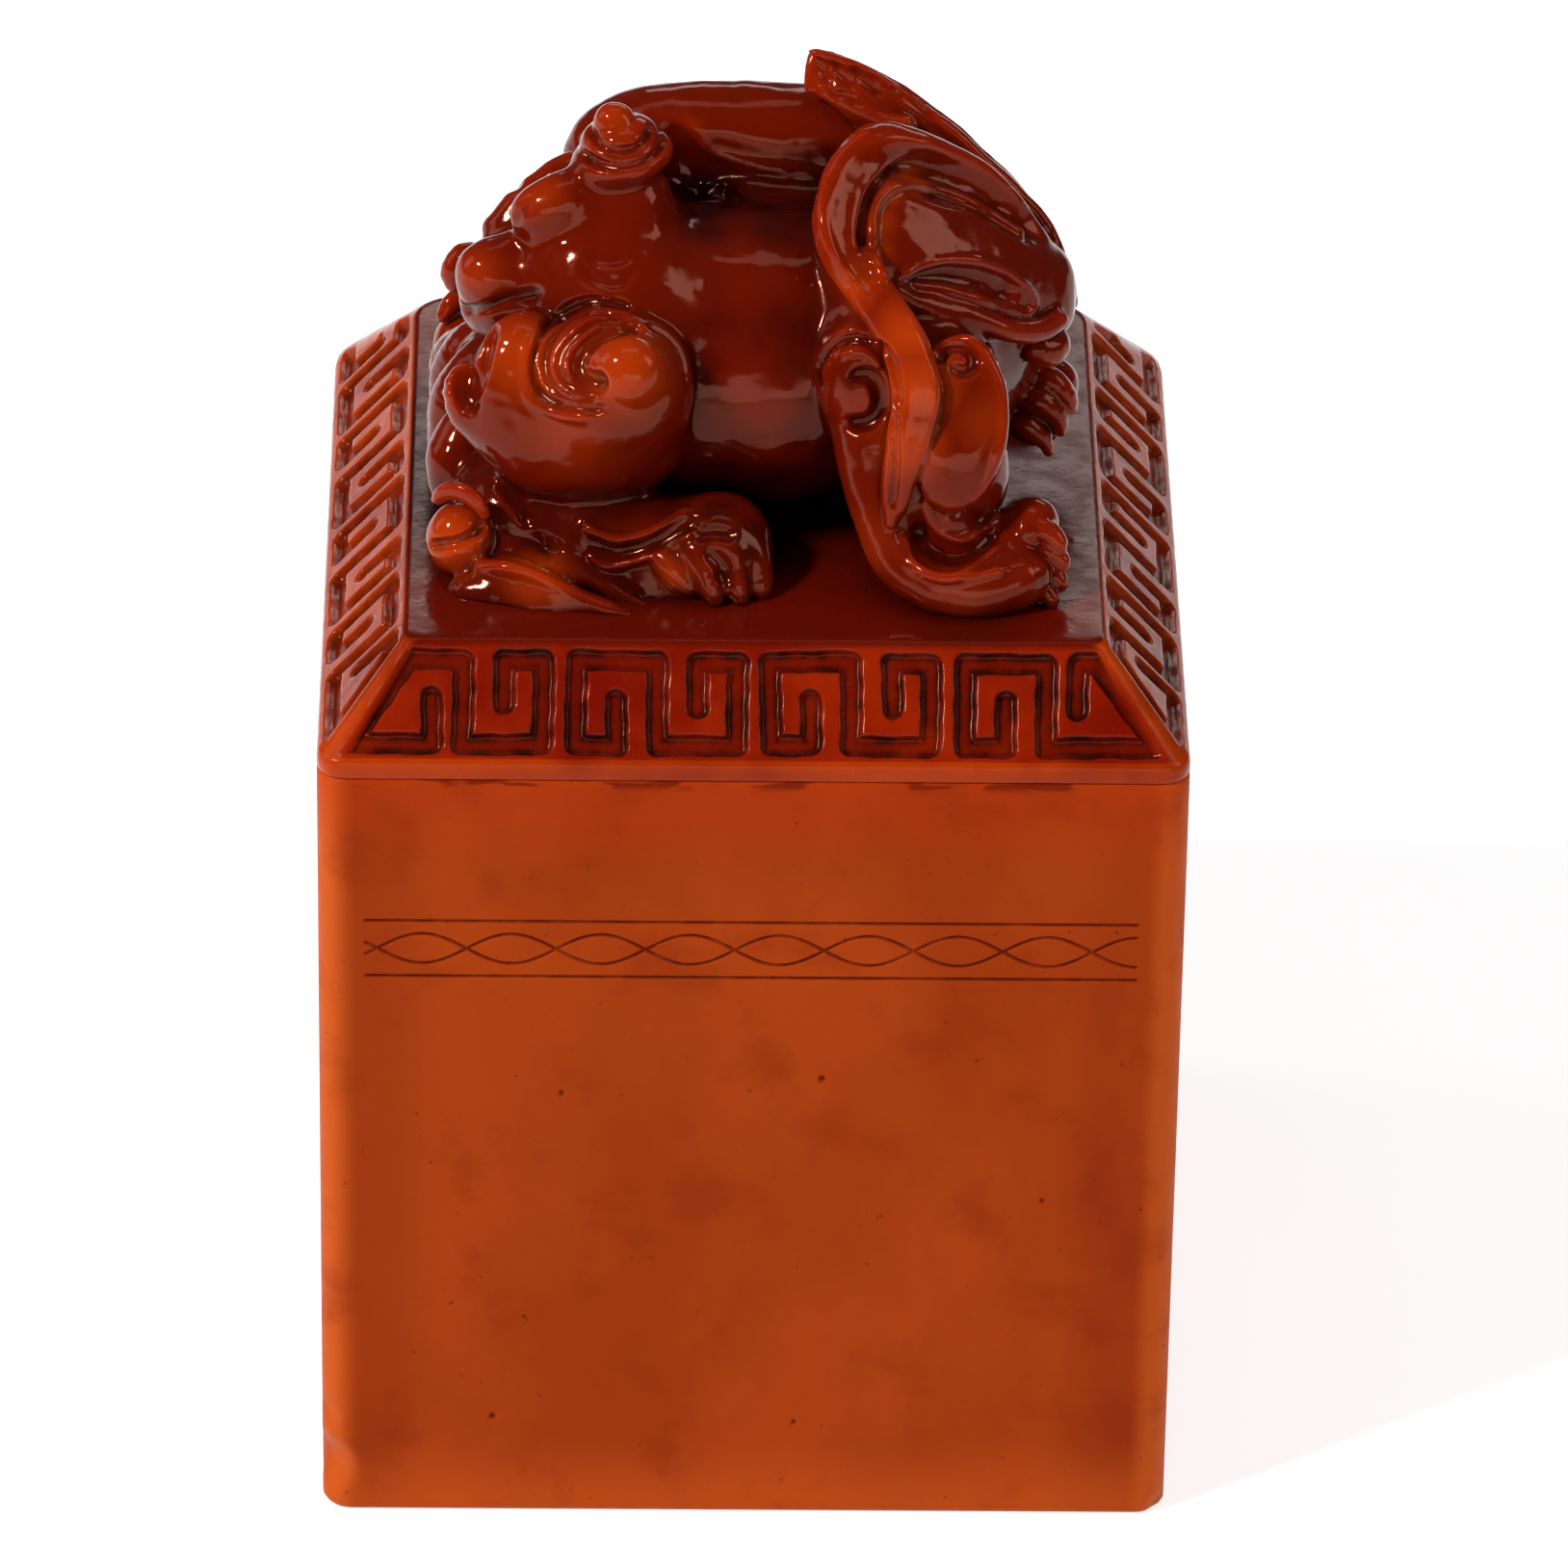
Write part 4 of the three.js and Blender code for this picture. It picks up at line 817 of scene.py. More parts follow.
def roughen(clay):
    """The slight unevenness of a surface cut by hand."""
    chance = np.random.default_rng(SURFACE_SEED)
    for reach, depth in SURFACE_WAVES:
        radius = max(1, round(reach / clay.pitch / 2))
        waves = blurred(blurred(chance.random(clay.field.shape, dtype=np.float32), radius), radius)
        clay.field += (waves - waves.mean()) * (depth / waves.std())


def carve_beast():
    """The whole carving: its forms, then its lines, then the unevenness, cut flat underneath."""
    clay = Clay(CARVING_LOW, CARVING_HIGH, PITCH)
    forms = (trunk, head, chest, forelegs, hindlegs, tail_plume, flame_locks, corner_locks)
    lines = (carve_shoulder, carve_hip, carve_head, carve_plume, carve_blade, carve_folds)
    for step in (*forms, *lines, roughen):
        step(clay)
    heights = clay.low[2] + clay.pitch * np.arange(clay.field.shape[2], dtype=np.float32)
    clay.field = np.maximum(clay.field, (-BASE_SINK - heights)[None, None, :])
    return clay


def blurred(share, radius):
    """A field averaged over a box of the given radius in cells, along each axis in turn."""
    for axis in range(3):
        share = np.moveaxis(share, axis, 0)
        padded = np.concatenate([share[:1].repeat(radius + 1, 0), share, share[-1:].repeat(radius, 0)])
        total = np.cumsum(padded, axis=0, dtype=np.float32)
        share = np.moveaxis((total[2 * radius + 1:] - total[:-2 * radius - 1]) / (2 * radius + 1), 0, axis)
    return share


def mesh_of(name, places, quads, triangles=None, layers=None):
    """A mesh object from points in mm, quads and triangles, with named values at its points."""
    corners = quads.ravel()
    sizes = np.full(len(quads), 4)
    if triangles is not None:
        corners = np.concatenate([corners, triangles.ravel()])
        sizes = np.concatenate([sizes, np.full(len(triangles), 3)])
    mesh = bpy.data.meshes.new(name)
    mesh.vertices.add(len(places))
    mesh.vertices.foreach_set("co", (np.asarray(places, np.float32) * MM).ravel())
    mesh.loops.add(len(corners))
    mesh.loops.foreach_set("vertex_index", corners.astype(np.int32))
    mesh.polygons.add(len(sizes))
    mesh.polygons.foreach_set("loop_start", (np.cumsum(sizes) - sizes).astype(np.int32))
    mesh.polygons.foreach_set("use_smooth", np.ones(len(sizes), bool))
    mesh.update()
    mesh.validate()
    for layer, values in (layers or {}).items():
        mesh.attributes.new(layer, "FLOAT", "POINT").data.foreach_set("value", values.astype(np.float32))
    piece = bpy.data.objects.new(name, mesh)
    bpy.context.scene.collection.objects.link(piece)
    return piece


def nearness(clay, reach):
    """The share of stone within a reach in mm of each cell, the cap below included."""
    share = np.clip(0.5 - clay.field / clay.pitch, 0, 1)
    share[:, :, :int(round(-clay.low[2] / clay.pitch))] = 1
    radius = max(1, round(reach / clay.pitch))
    soft = Clay(clay.low, clay.low, clay.pitch)
    soft.field = blurred(blurred(share, radius), radius)
    return soft


def skin_of(clay, name):
    """The carving's surface as a mesh, its points drawn exactly to the zero level."""
    grid = openvdb.FloatGrid(FAR)
    grid.copyFromArray(clay.field)
    points, quads = grid.convertToQuads(isovalue=0)
    places = points * clay.pitch + clay.low
    for _ in range(PULL_ROUNDS):
        value = clay.sample(places)
        steps = np.eye(3) * clay.pitch * 0.5
        grad = np.stack([clay.sample(places + step) - clay.sample(places - step) for step in steps], axis=1)
        grad = grad / clay.pitch
        size = np.maximum((grad ** 2).sum(axis=1), PULL_SLOPE)
        move = np.clip(value / size, -clay.pitch, clay.pitch)
        places = places - grad * move[:, None] * PULL_SHARE
    layers = {layer: nearness(clay, reach).sample(places) for layer, reach in STONE_LAYERS}
    # Painted glow and painted shade at the listed spots
    layers["glow"] = spots_of(places, PAINTED_GLOWS)
    layers["painted_shade"] = spots_of(places, PAINTED_SHADES)
    places[:, 2] += PLATEAU_Z
    return mesh_of(name, places, quads[:, ::-1], layers=layers)


def square_ring(half, radius, spacing_count, bend_count, back_extra=0.0):
    """Points round a square with rounded corners, from the front's left end towards +X. The two corners at
    the back are rounder by back_extra."""
    turn = np.linspace(0, math.pi / 2, bend_count + 2)[1:-1]
    corners = [radius, radius + back_extra, radius + back_extra, radius]
    places = []
    for side in range(4):
        before, after = corners[side - 1], corners[side]
        flat = np.linspace(-(half - before), half - after, spacing_count)
        xs = np.concatenate([flat, half - after + after * np.sin(turn)])
        ys = np.concatenate([np.full(spacing_count, -half), -(half - after) - after * np.cos(turn)])
        c, s = TURNS[side]
        places.append(np.stack([c * xs - s * ys, s * xs + c * ys], axis=1))
    return np.vstack(places)


def loft(name, rings, layers=None):
    """A closed skin over rings of points, with a pole in the middle of the first and of the last."""
    rows, count = rings.shape[:2]
    index = np.arange(rows * count).reshape(rows, count)
    after = np.roll(index, -1, axis=1)
    quads = np.stack([index[:-1], after[:-1], after[1:], index[1:]], axis=-1).reshape(-1, 4)
    low, high = rows * count, rows * count + 1
    triangles = np.vstack([np.stack([after[0], index[0], np.full(count, low)], axis=1),
                           np.stack([index[-1], after[-1], np.full(count, high)], axis=1)])
    places = np.vstack([rings.reshape(-1, 3), rings[0].mean(axis=0), rings[-1].mean(axis=0)])
    layers = {key: np.concatenate([value.ravel(), [0, 0]]) for key, value in (layers or {}).items()}
    return mesh_of(name, places, quads, triangles, layers)


def path_distance(u, v, path):
    """Distances from points to a line of corners."""
    best = np.full(np.broadcast(u, v).shape, BEYOND)
    for (u0, v0), (u1, v1) in zip(path[:-1], path[1:]):
        run_u, run_v = u1 - u0, v1 - v0
        part = np.clip(((u - u0) * run_u + (v - v0) * run_v) / (run_u ** 2 + run_v ** 2), 0, 1)
        best = np.minimum(best, np.hypot(u - u0 - part * run_u, v - v0 - part * run_v))
    return best


def smooth_step(low, high, value):
    """From 0 at low to 1 at high, level at both ends."""
    part = np.clip((value - low) / (high - low), 0, 1)
    return part * part * (3 - 2 * part)


def fret_paths():
    """The S-shaped strokes of one slope, u along it and v up it, each cut a little by hand."""
    low = FRET_EDGE_MARGIN + FRET_WIDTH / 2
    high = SLOPE - low
    middle = (low + high) / 2

    def arris(v):
        return BLOCK_HALF - CHAMFER_RUN * v / SLOPE - FRET_ARRIS_MARGIN

    chance = np.random.default_rng(FRET_SEED)
    paths = []
    for i in range(FRET_COUNT):
        centre = (i - (FRET_COUNT - 1) / 2) * FRET_PERIOD
        left = [-arris(low), -arris(high)] if i == 0 else [centre - 2 * FRET_PITCH] * 2
        right = [arris(low), arris(high)] if i == FRET_COUNT - 1 else [centre + 2 * FRET_PITCH] * 2
        slot_low = max(centre - FRET_PITCH, left[1] + FRET_WIDTH)
        slot_high = min(centre + FRET_PITCH, right[1] - FRET_WIDTH)
        reach = FRET_OVERLAP / 2 - FRET_WIDTH / 2
        path = [(slot_low, middle + reach), (slot_low, low), (left[0], low), (left[1], high), (centre, high),
                (centre, low), (right[0], low), (right[1], high), (slot_high, high),
                (slot_high, middle - reach)]
        paths.append(np.array(path) + chance.uniform(-FRET_SLIP, FRET_SLIP, (len(path), 2)))
    return paths


def stack_rings(rows, side_count, bend_count):
    """Rings of points over each other, from rows of half side, corner radius, extra radius at the back, z."""
    rings = []
    for half, radius, back_extra, z in rows:
        ring = square_ring(half, min(radius, half), side_count, bend_count, back_extra)
        rings.append(np.hstack([ring, np.full((len(ring), 1), z)]))
    return np.array(rings)


def cap_rows():
    """The cap's rows from its underside to the middle of the plateau, and the first row of the slopes and
    of the plateau."""
    rows = [(BLOCK_HALF + out, CORNER_RADIUS, BLOCK_TOP + up) for out, up in LIP_ROWS]
    first = len(rows)
    for v in SLOPE_HEIGHTS:
        part = v / SLOPE
        radius = CORNER_RADIUS + (PLATEAU_CORNER - CORNER_RADIUS) * part
        rows.append((BLOCK_HALF - CHAMFER_RUN * part, radius, SHOULDER_Z + CHAMFER_RISE * part))
    last = len(rows)
    for inset in PLATEAU_INSETS:
        drop = PLATEAU_EDGE_DROP * max(0, 1 - inset / PLATEAU_EDGE_REACH)
        rows.append((PLATEAU_HALF - inset, PLATEAU_CORNER, PLATEAU_Z - drop))
    rows = [(half, radius, BACK_ROUND * half / BLOCK_HALF, z) for half, radius, z in rows]
    return rows, first, last


def cut_fret(slopes):
    """Sinks the fret into the four slopes. Returns how far each point lies in the groove, and how much of
    the dark wash that sits along the groove's walls it carries, both from 0 to 1."""
    paths = fret_paths()
    cut = np.zeros(slopes.shape[:2])
    wash = np.zeros(slopes.shape[:2])
    v = SLOPE_HEIGHTS[:, None]
    for side, (c, s) in enumerate(TURNS):
        start = side * (CAP_SIDE_COUNT + CAP_BEND_COUNT)
        columns = slice(start, start + CAP_SIDE_COUNT)
        along = c * slopes[:, columns, 0] + s * slopes[:, columns, 1]
        near = np.min([path_distance(along, np.broadcast_to(v, along.shape), path) for path in paths], axis=0)
        near = near + FRET_WOBBLE * np.sin(1.7 * along + 2.3 * v + side) * np.sin(0.9 * along - 1.3 * v)
        cut[:, columns] = 1 - smooth_step(*FRET_WALL, near)
        wash[:, columns] = smooth_step(*WASH_START, near) * (1 - smooth_step(*WASH_END, near))
        inward = np.array([-s * CHAMFER_RISE, c * CHAMFER_RISE, -CHAMFER_RUN]) / SLOPE
        slopes[:, columns] += inward * (cut[:, columns] * FRET_DEPTH)[..., None]
    return cut, wash


def cap_layers(rings, first, last, nearby):
    """Values at the cap's points for its stone: groove, wash, painted glow on thin edges and the lip with
    painted sheen on the side slopes, and the beast's painted shade.
    """
    layers = {name: np.zeros(rings.shape[:2]) for name in ("cut", "wash", "painted_light")}
    slopes = slice(first, last)
    layers["cut"][slopes], layers["wash"][slopes] = cut_fret(rings[slopes])
    painted_light = layers["painted_light"]
    # Painted glow along the arrises and on the lip
    reach = np.sort(np.abs(rings[..., :2]), axis=2)
    painted_light[:last] = 1 - smooth_step(*ARRIS_GLOW_REACH, (reach[..., 1] - reach[..., 0])[:last])
    lip = slice(first + LIP_GLOW_ROWS)
    painted_light[lip] = np.maximum(painted_light[lip], LIP_GLOW)
    # Painted sheen on the side slopes, with less wash there
    sides = np.abs(rings[slopes, :, 0]) > np.abs(rings[slopes, :, 1])
    painted_light[slopes] = np.maximum(painted_light[slopes], sides * SIDE_PAINTED_SHEEN)
    layers["wash"][slopes] *= 1 - sides * SIDE_WASH_LOSS
    shade = np.full(rings.shape[:2], 0.5)
    flat = rings[last:].reshape(-1, 3) - np.array([0, 0, PLATEAU_Z])
    shade[last:] = nearby.sample(flat).reshape(shade[last:].shape)
    layers["shade"] = shade
    return layers


def build_cap(nearby):
    """Shoulder cap: lip, four slopes with the meander fret cut in them, and the plateau, which has painted
    shade, darker where the beast stands close over it."""
    rows, first, last = cap_rows()
    rings = stack_rings(rows, CAP_SIDE_COUNT, CAP_BEND_COUNT)
    cap = loft("cap_carving", rings, cap_layers(rings, first, last, nearby))
    cap.data.materials.append(cap_stone())
    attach(cap, "root")
    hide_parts("shoulder_cap")


def band_paths():
    """The twist band's two straight lines and two crossing waves on the front, as x and z."""
    x = np.linspace(-BAND_LENGTH / 2, BAND_LENGTH / 2, 220)
    phase = 2 * math.pi * (x + BAND_LENGTH / 2) / BAND_WAVE_LENGTH - BAND_START
    paths = []
    for side in (-1, 1):
        rail = BAND_HEIGHT + side * BAND_RAILS / 2
        paths.append(np.array([(x[0], rail), (x[-1], rail)]))
        paths.append(np.stack([x, BAND_HEIGHT + side * BAND_WAVE * np.sin(phase)], axis=1))
    return paths


def dent(rings, places):
    """Pushes hollows into the block's skin, and says how deep in one each point lies, from 0 to 1."""
    shares = np.zeros(rings.shape[:2])
    for x, y, z, reach, depth in places:
        away = np.linalg.norm(rings - (x, y, z), axis=2)
        share = 1 - smooth_step(0.2 * reach, reach, away)
        inward = -np.array([x * (abs(x) > 20), y * (abs(y) > 20)])
        rings[..., :2] += (share * depth)[..., None] * inward / np.linalg.norm(inward)
        shares = np.maximum(shares, share)
    return shares


def block_rows(band_low, band_high):
    """The block's rows from the seal face to its top, close together where the twist band is cut."""
    heights = np.concatenate([np.linspace(FOOT_BEVEL, band_low, BLOCK_ROWS)[:-1],
                              np.arange(band_low, band_high, BAND_STEP),
                              np.linspace(band_high, BLOCK_TOP - 0.2, BLOCK_TOP_ROWS)])
    rows = [(-FACE_INSET, 0), (-FOOT_BEVEL, 0), (-FOOT_BEVEL * 0.3, FOOT_BEVEL * 0.3)]
    rows += [(0, z) for z in heights]
    rows += [(-0.05, BLOCK_TOP - 0.06), (-0.18, BLOCK_TOP), (-FACE_INSET, BLOCK_TOP)]
    return [(BLOCK_HALF + out, CORNER_RADIUS, BACK_ROUND, z) for out, z in rows]


def thinned(rings):
    """The rings with all points of the front and of the bends, and few of those on the other sides."""
    keep = np.zeros(rings.shape[1], bool)
    per_side = BLOCK_FRONT_COUNT + BLOCK_BEND_COUNT
    keep[:per_side] = True
    for side in (1, 2, 3):
        keep[side * per_side:(side + 1) * per_side:BLOCK_SIDE_STRIDE] = True
        keep[side * per_side + BLOCK_FRONT_COUNT - 1:(side + 1) * per_side] = True
    return rings[:, keep]


def cut_band(rings, band_low, band_high):
    """Sinks the twist band into the front. Returns how far each point lies in its lines, from 0 to 1."""
    front = rings[:, :BLOCK_FRONT_COUNT]
    x = front[..., 0]
    z = front[..., 2]
    near = np.full(x.shape, BEYOND)
    band = (z[:, 0] > band_low - 0.2) & (z[:, 0] < band_high + 0.2)
    for path in band_paths():
        near[band] = np.minimum(near[band], path_distance(x[band], z[band], path))
    cut = np.zeros(rings.shape[:2])
    cut[:, :BLOCK_FRONT_COUNT] = 1 - smooth_step(BAND_CUT * 0.2, BAND_CUT * 0.8, near)
    rings[..., 1] += cut * BAND_DEPTH
    return cut


def build_block():
    """Seal block: a rounded column with a bevelled foot and the twist band cut in its front."""
    reach = BAND_RAILS / 2 + BAND_MARGIN
    band = BAND_HEIGHT - reach, BAND_HEIGHT + reach
    rings = thinned(stack_rings(block_rows(*band), BLOCK_FRONT_COUNT, BLOCK_BEND_COUNT))
    cut = cut_band(rings, *band)
    pit = dent(rings, PITS)
    chip = dent(rings, CHIPS)
    block = loft("block_body", rings, {"cut": cut, "pit": pit, "chip": chip})
    block.data.materials.append(block_stone())
    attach(block, "root")
    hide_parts("seal_block")


class Recipe:
    """A stone's node tree, built step by step."""

    def __init__(self, name):
        self.material = bpy.data.materials.new(name)
        self.material.use_nodes = True
        self.tree = self.material.node_tree
        self.shader = self.tree.nodes["Principled BSDF"]
        self.where = self.tree.nodes.new("ShaderNodeTexCoord").outputs["Object"]

    def node(self, kind, inputs=(), **settings):
        """A node with its settings, its inputs set to values or linked to sockets."""
        made = self.tree.nodes.new(kind)
        for key, value in settings.items():
            setattr(made, key, value)
        for socket, value in dict(inputs).items():
            if isinstance(value, bpy.types.NodeSocket):
                self.tree.links.new(value, made.inputs[socket])
            else:
                made.inputs[socket].default_value = value
        return made

    def layer(self, name):
        """A named value of the mesh's points."""
        return self.node("ShaderNodeAttribute", attribute_name=name).outputs["Fac"]

    def noise(self, size, detail=3, rough=0.55, stretch=(1, 1, 1)):
        """Noise from 0 to 1 whose features are about size mm."""
        scaled = self.node("ShaderNodeMapping", {"Vector": self.where, "Scale": stretch}).outputs["Vector"]
        return self.node("ShaderNodeTexNoise", {"Vector": scaled, "Scale": 1 / (size * MM), "Detail": detail,
                                                "Roughness": rough}).outputs["Fac"]

    def span(self, value, low, high, to_low=0.0, to_high=1.0):
        """A value's stretch from low to high, turned smoothly to another."""
        return self.node("ShaderNodeMapRange", {"Value": value, "From Min": low, "From Max": high,
                                                "To Min": to_low, "To Max": to_high},
                         interpolation_type="SMOOTHSTEP").outputs["Result"]

    def maths(self, operation, a, b):
        """The result of one operation on two values."""
        return self.node("ShaderNodeMath", {0: a, 1: b}, operation=operation).outputs[0]

    def blend(self, part, first, second):
        """Two colours, or a colour and an earlier blend, mixed by a part from 0 to 1."""
        first = first if isinstance(first, bpy.types.NodeSocket) else (*first, 1)
        second = second if isinstance(second, bpy.types.NodeSocket) else (*second, 1)
        made = self.node("ShaderNodeMix", {0: part, 6: first, 7: second}, data_type="RGBA")
        return made.outputs[2]

    def bump(self, height, depth, below=None):
        """A relief of the given depth in mm over an earlier one."""
        inputs = {"Height": height, "Strength": 1.0, "Distance": depth * MM}
        if below is not None:
            inputs["Normal"] = below
        return self.node("ShaderNodeBump", inputs).outputs["Normal"]

    def finish(self, colour, rough, normal, **constants):
        """Links the shader and sets its other inputs."""
        self.tree.links.new(colour, self.shader.inputs["Base Color"])
        self.tree.links.new(rough, self.shader.inputs["Roughness"])
        self.tree.links.new(normal, self.shader.inputs["Normal"])
        for socket, value in constants.items():
            self.shader.inputs[socket.replace("_", " ")].default_value = value
        return self.material


def translucent(weight, reach):
    """Settings for light that spreads in the stone, red the furthest; reach in mm."""
    return {"Subsurface_Weight": weight, "Subsurface_Radius": (1, 0.22, 0.05), "Subsurface_Scale": reach * MM}


def spots_of(places, spots):
    """How much soft spots, on the near side and mirrored on the far one, cover points of the beast."""
    cover = np.zeros(len(places))
    for x, y, depth, reach, strength in spots:
        near = np.array(spot(x, y, depth))
        for centre in (near, np.array([near[0], 2 * SPINE_Y - near[1], near[2]])):
            away = np.linalg.norm(places - centre, axis=1)
            cover = np.maximum(cover, strength * (1 - smooth_step(0, reach, away)))
    return cover


def beast_stone():
    """Painted shade, dark where the stone is deep or hollow, and painted glow, amber where it is thin as if
    the light came through.
    """
    stone = Recipe("beast_stone")
    cloud = stone.noise(5, 4)
    grain = stone.noise(1.6, 4)
    uneven = stone.span(cloud, 0.3, 0.7, -0.05, 0.05)
    wide = stone.maths("ADD", stone.layer("wide"), uneven)
    broad = stone.maths("ADD", stone.layer("broad"), uneven)
    fine = stone.layer("fine")
    # Painted shade: deeper red where much stone lies about a point
    colour = stone.blend(stone.span(wide, 0.62, 0.44), DEEP_RED, WARM_RED)
    # Painted glow: amber where the stone is thin
    colour = stone.blend(stone.span(broad, 0.40, 0.22, 0, 0.35), colour, AMBER)
    colour = stone.blend(stone.span(fine, 0.46, 0.30, 0, 0.25), colour, AMBER)
    # Painted glow at the listed glow spots
    colour = stone.blend(stone.layer("glow"), colour, BRIGHT_AMBER)
    # Painted shade, nearly black in the deep hollows under the body and between the legs
    colour = stone.blend(stone.span(wide, 0.60, 0.78, 0, 0.9), colour, DARK_SHADE_AND_SPECKS)
    # Painted shade at the listed shade spots
    colour = stone.blend(stone.layer("painted_shade"), colour, DARK_SHADE_AND_SPECKS)
    # Darker in the tightest hollows
    colour = stone.blend(stone.span(fine, 0.54, 0.68, 0, 0.55), colour, DARK_SHADE_AND_SPECKS)
    rough = stone.span(grain, 0.35, 0.7, 0.07, 0.17)
    relief = stone.bump(stone.noise(2.6, 2), 0.08)
    relief = stone.bump(stone.noise(0.5, 3), 0.006, relief)
    return stone.finish(colour, rough, relief, Specular_IOR_Level=0.36, Specular_Tint=WARM_GLOSS,
        **translucent(0.3, 1.6))


def cap_stone():
    """Dark red, with painted glow in amber on its edges and painted sheen on its side slopes, the wash in the
    fret, and painted shade on the plateau.
    """
    stone = Recipe("cap_stone")
    cloud = stone.noise(9, 3)
    grain = stone.noise(1.3, 4)
    cut = stone.layer("cut")
    height = stone.node("ShaderNodeSeparateXYZ", {0: stone.where}).outputs["Z"]
    plateau = stone.span(height, (PLATEAU_Z - 0.5) * MM, (PLATEAU_Z - 0.05) * MM)
    # Painted glow on thin edges and the lip, painted sheen on the side slopes
    thin = stone.maths("MULTIPLY", stone.layer("painted_light"), stone.span(cloud, 0.3, 0.6, 0.3, 0.9))
    floor = stone.maths("MULTIPLY", cut, stone.span(stone.noise(4, 4), 0.35, 0.65, 0.45, 0.9))
    walls = stone.maths("MULTIPLY", stone.layer("wash"), stone.span(stone.noise(2, 4), 0.38, 0.62, 0.3, 0.95))
    colour = stone.blend(stone.span(cloud, 0.35, 0.65), CAP_RED, CAP_ORANGE)
    # Painted shade: the plateau darker all over, and darker still where the beast stands close over it
    colour = stone.blend(plateau, colour, PLATEAU_SHADE_RED)
    colour = stone.blend(stone.span(stone.layer("shade"), 0.52, 0.72), colour, DARK_SHADE_AND_SPECKS)
    colour = stone.blend(thin, colour, CAP_AMBER)
    colour = stone.blend(floor, colour, FRET_WASH)
    colour = stone.blend(walls, colour, FRET_DARK)
    rough = stone.maths("ADD", stone.span(grain, 0.35, 0.7, 0.14, 0.28), stone.maths("MULTIPLY", cut, 0.06))
    relief = stone.bump(stone.noise(2.2, 3), 0.05)
    relief = stone.bump(stone.noise(0.35, 3), 0.008, relief)
    return stone.finish(colour, rough, relief, Specular_IOR_Level=0.28, Specular_Tint=WARM_GLOSS,
        **translucent(0.25, 1.2))


def block_colour(stone, grain):
    """Cloudy orange-brown, with painted glow at the upright edges, lighter at the foot, redder at the top,
    with the marks of the seam, the band, the pits and the chips."""
    parts = stone.node("ShaderNodeSeparateXYZ", {0: stone.where}).outputs
    height = parts["Z"]
    across = stone.maths("MINIMUM", *[stone.maths("ABSOLUTE", parts[axis], 0.0) for axis in "XY"])
    cloud = stone.noise(14, 4, stretch=(1, 1, 0.6))
    colour = stone.blend(stone.span(cloud, 0.35, 0.65), BLOCK_DEEP, BLOCK_ORANGE)
    beside = stone.span(across, 17.5 * MM, 21.5 * MM)
    shade = stone.maths("MULTIPLY", beside, stone.span(cloud, 0.3, 0.6, 0.9, 0.4))
    colour = stone.blend(shade, colour, BLOCK_BROWN)
    # Painted glow: the rounded upright corners lighter, as if light came through them
    colour = stone.blend(stone.span(across, 22.6 * MM, 24.4 * MM), colour, BLOCK_RIM)
    colour = stone.blend(stone.span(height, 6 * MM, 0, 0, 0.6), colour, BLOCK_RIM)
    colour = stone.blend(stone.span(height, 44 * MM, 51 * MM, 0, 0.5), colour, BLOCK_WARM)
    colour = stone.blend(stone.span(stone.noise(6, 5, 0.6), 0.5, 0.72, 0, 0.5), colour, BLOCK_BROWN)
    colour = stone.blend(stone.span(stone.noise(0.55, 2, 0.5), 0.73, 0.78, 0, 0.6), colour, DARK_SHADE_AND_SPECKS)
    lines = stone.maths("MULTIPLY", stone.layer("cut"), stone.span(grain, 0.3, 0.6, 0.45, 0.9))
    colour = stone.blend(lines, colour, BLOCK_LINE)
    colour = stone.blend(stone.maths("MULTIPLY", stone.layer("pit"), 0.85), colour, BLOCK_LINE)
    colour = stone.blend(stone.maths("MULTIPLY", stone.layer("chip"), 0.8), colour, BLOCK_RIM)
    marks = stone.span(stone.noise(2.2, 3, stretch=(0.4, 0.4, 2)), 0.54, 0.62, 0, 0.75)
    seam = stone.maths("MULTIPLY", stone.span(height, 50.2 * MM, 50.8 * MM), marks)
    return stone.blend(seam, colour, BLOCK_LINE)


def block_stone():
    """Satin stone with a fine grain."""
    stone = Recipe("block_stone")
    grain = stone.noise(1.2, 4)
    colour = block_colour(stone, grain)
    rough = stone.span(grain, 0.3, 0.7, 0.42, 0.55)
    relief = stone.bump(stone.noise(5, 3), 0.06)
    relief = stone.bump(stone.noise(0.3, 3), 0.01, relief)
    return stone.finish(colour, rough, relief, Specular_IOR_Level=0.1, Specular_Tint=WARM_GLOSS,
        **translucent(0.3, 1.5))


def floor_material():
    """Plain white: its own light is seen only by the eye and in reflections, so it keeps the shadow."""
    material = bpy.data.materials.new("floor")
    material.use_nodes = True
    tree = material.node_tree
    tree.nodes.clear()
    output = tree.nodes.new("ShaderNodeOutputMaterial")
    plain = tree.nodes.new("ShaderNodeBsdfDiffuse")
    plain.inputs["Color"].default_value = FLOOR_WHITE
    glow = tree.nodes.new("ShaderNodeEmission")
    path = tree.nodes.new("ShaderNodeLightPath")
    total = path.outputs["Is Camera Ray"]
    for ray in ("Is Glossy Ray", "Is Transmission Ray"):
        either = tree.nodes.new("ShaderNodeMath")
        either.operation = "MAXIMUM"
        tree.links.new(total, either.inputs[0])
        tree.links.new(path.outputs[ray], either.inputs[1])
        total = either.outputs[0]
    part = tree.nodes.new("ShaderNodeMath")
    part.operation = "MULTIPLY"
    part.inputs[1].default_value = FLOOR_GLOW
    tree.links.new(total, part.inputs[0])
    tree.links.new(part.outputs[0], glow.inputs["Strength"])
    both = tree.nodes.new("ShaderNodeAddShader")
    tree.links.new(plain.outputs[0], both.inputs[0])
    tree.links.new(glow.outputs[0], both.inputs[1])
    tree.links.new(both.outputs[0], output.inputs["Surface"])
    return material


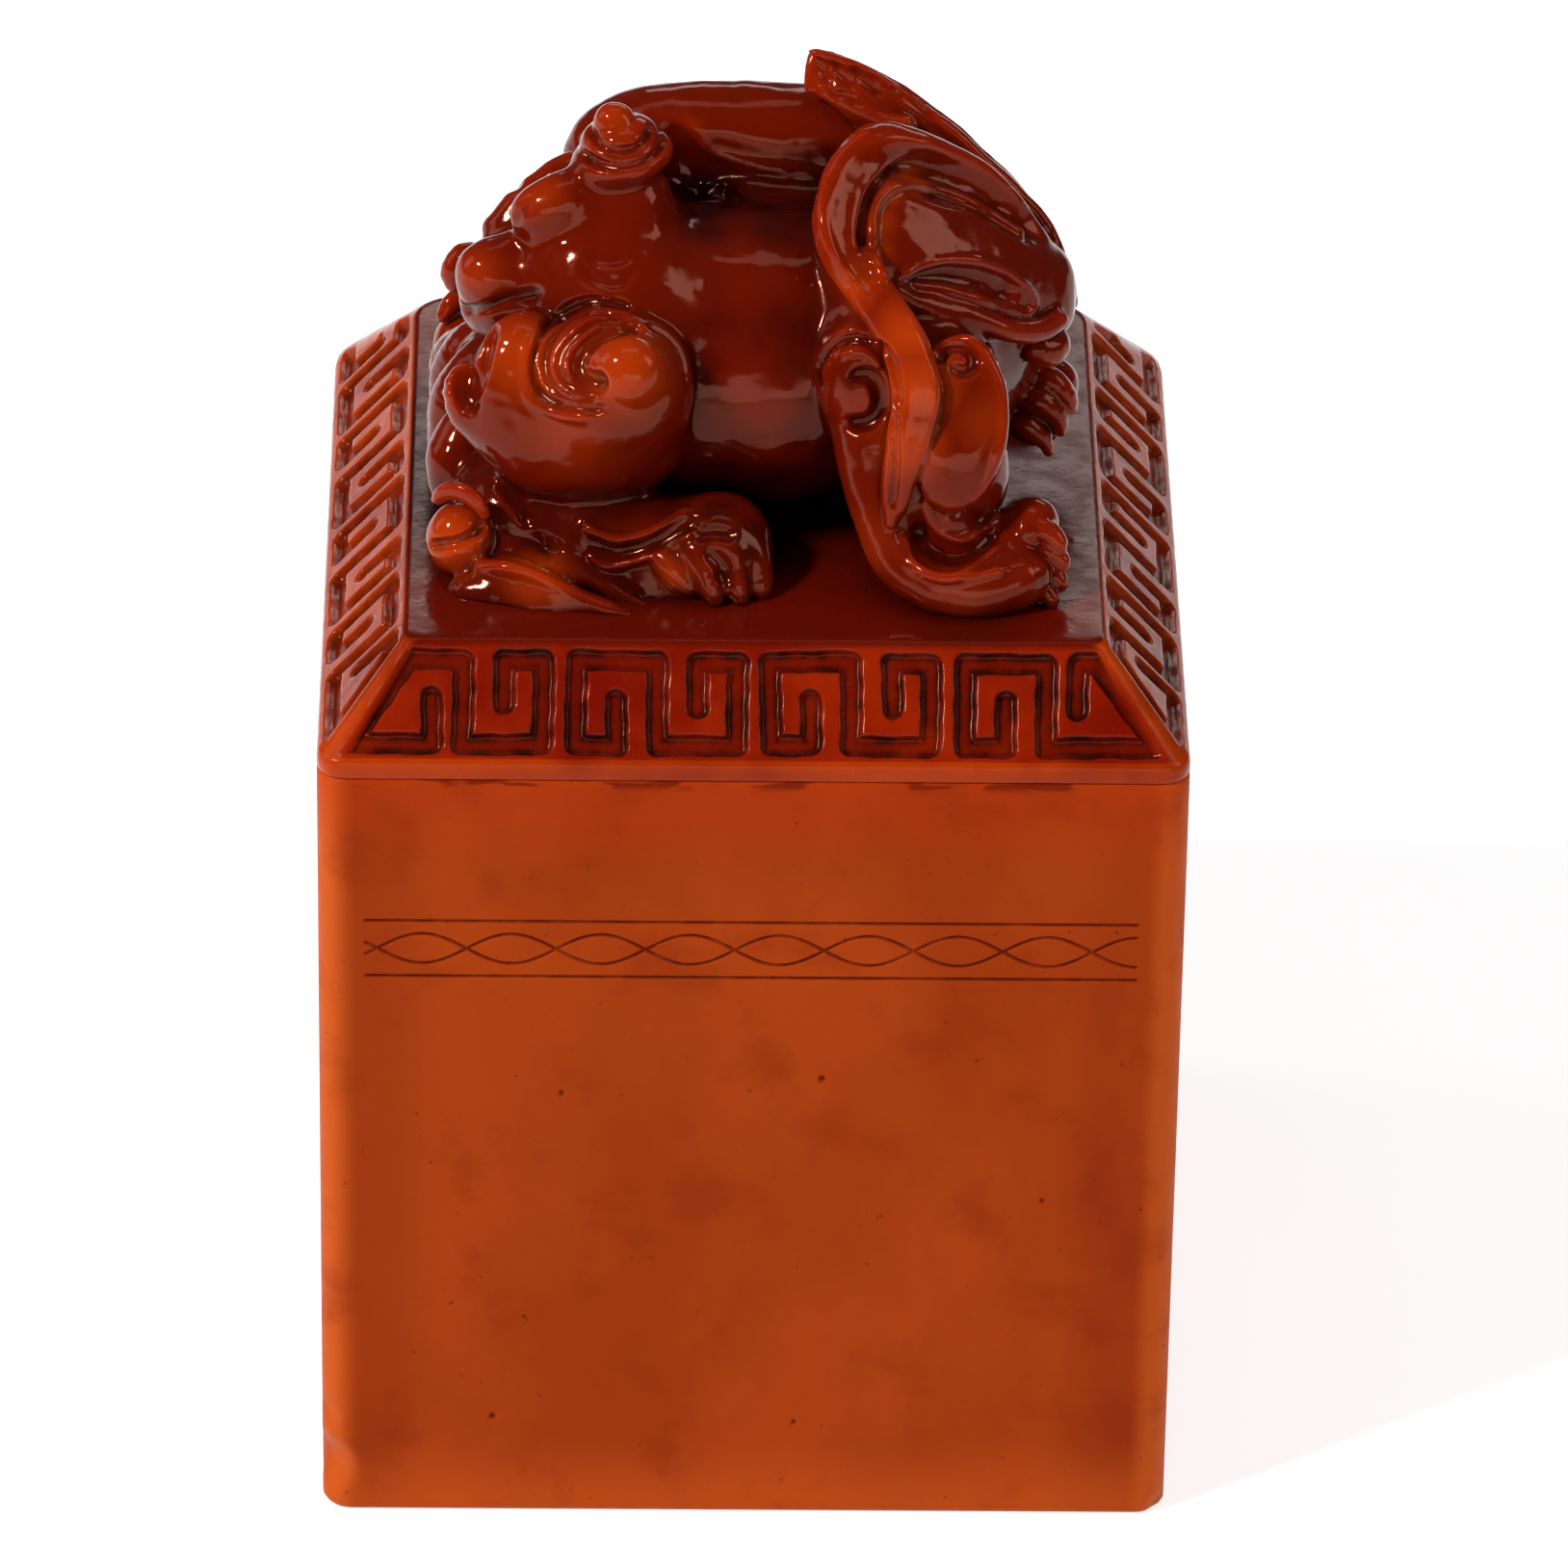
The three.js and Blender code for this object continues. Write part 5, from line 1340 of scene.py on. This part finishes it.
def add_camera():
    """The camera at the fitted place, with its roll."""
    data = bpy.data.cameras.new("camera")
    data.sensor_width = SENSOR_WIDTH
    data.lens = FOCAL_PIXELS * SENSOR_WIDTH / IMAGE_SIDE
    data.clip_end = 10
    camera = bpy.data.objects.new("camera", data)
    bpy.context.scene.collection.objects.link(camera)
    roll = math.radians(CAMERA_ROLL)
    right = math.cos(roll) * RIGHT + math.sin(roll) * UP
    up = -math.sin(roll) * RIGHT + math.cos(roll) * UP
    turn = Matrix([[right[i], up[i], BACK[i]] for i in range(3)]).to_4x4()
    camera.matrix_world = Matrix.Translation(Vector((CAMERA_TARGET + BACK * CAMERA_DISTANCE) * MM)) @ turn
    bpy.context.scene.camera = camera


def add_lamp(name, azimuth, elevation, distance, size, radiance):
    """A soft box that looks at the beast. Azimuth 0 is the front, elevation 90 straight above."""
    data = bpy.data.lights.new(name, "AREA")
    data.shape = "RECTANGLE"
    data.size, data.size_y = size
    data.energy = radiance * math.pi * size[0] * size[1]
    lamp = bpy.data.objects.new(name, data)
    bpy.context.scene.collection.objects.link(lamp)
    az = math.radians(azimuth)
    el = math.radians(elevation)
    target = Vector(LAMP_AIM)
    away = Vector((math.sin(az) * math.cos(el), -math.cos(az) * math.cos(el), math.sin(el)))
    lamp.location = target + distance * away
    lamp.rotation_euler = (target - lamp.location).to_track_quat("-Z", "Y").to_euler()


def add_studio():
    """Pale floor, lamps and a dim even world."""
    bpy.ops.mesh.primitive_plane_add(size=FLOOR_SIZE, location=(0, 0, 0))
    floor = bpy.context.object
    floor.name = "floor"
    floor.data.materials.append(floor_material())
    for lamp in LAMPS:
        add_lamp(*lamp)
    world = bpy.data.worlds.new("world")
    bpy.context.scene.world = world
    world.use_nodes = True
    background = world.node_tree.nodes["Background"]
    background.inputs["Color"].default_value = (1, 1, 1, 1)
    background.inputs["Strength"].default_value = WORLD_LEVEL
    bpy.context.scene.view_settings.view_transform = "Standard"


def build_beast(clay):
    """Beast knob: the skin of the carving."""
    beast = skin_of(clay, "beast_carving")
    beast.data.materials.append(beast_stone())
    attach(beast, "root")
    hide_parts("beast_knob")


add_camera()
add_studio()
carving = carve_beast()
build_block()
build_cap(nearness(carving, WIDE_REACH))
build_beast(carving)
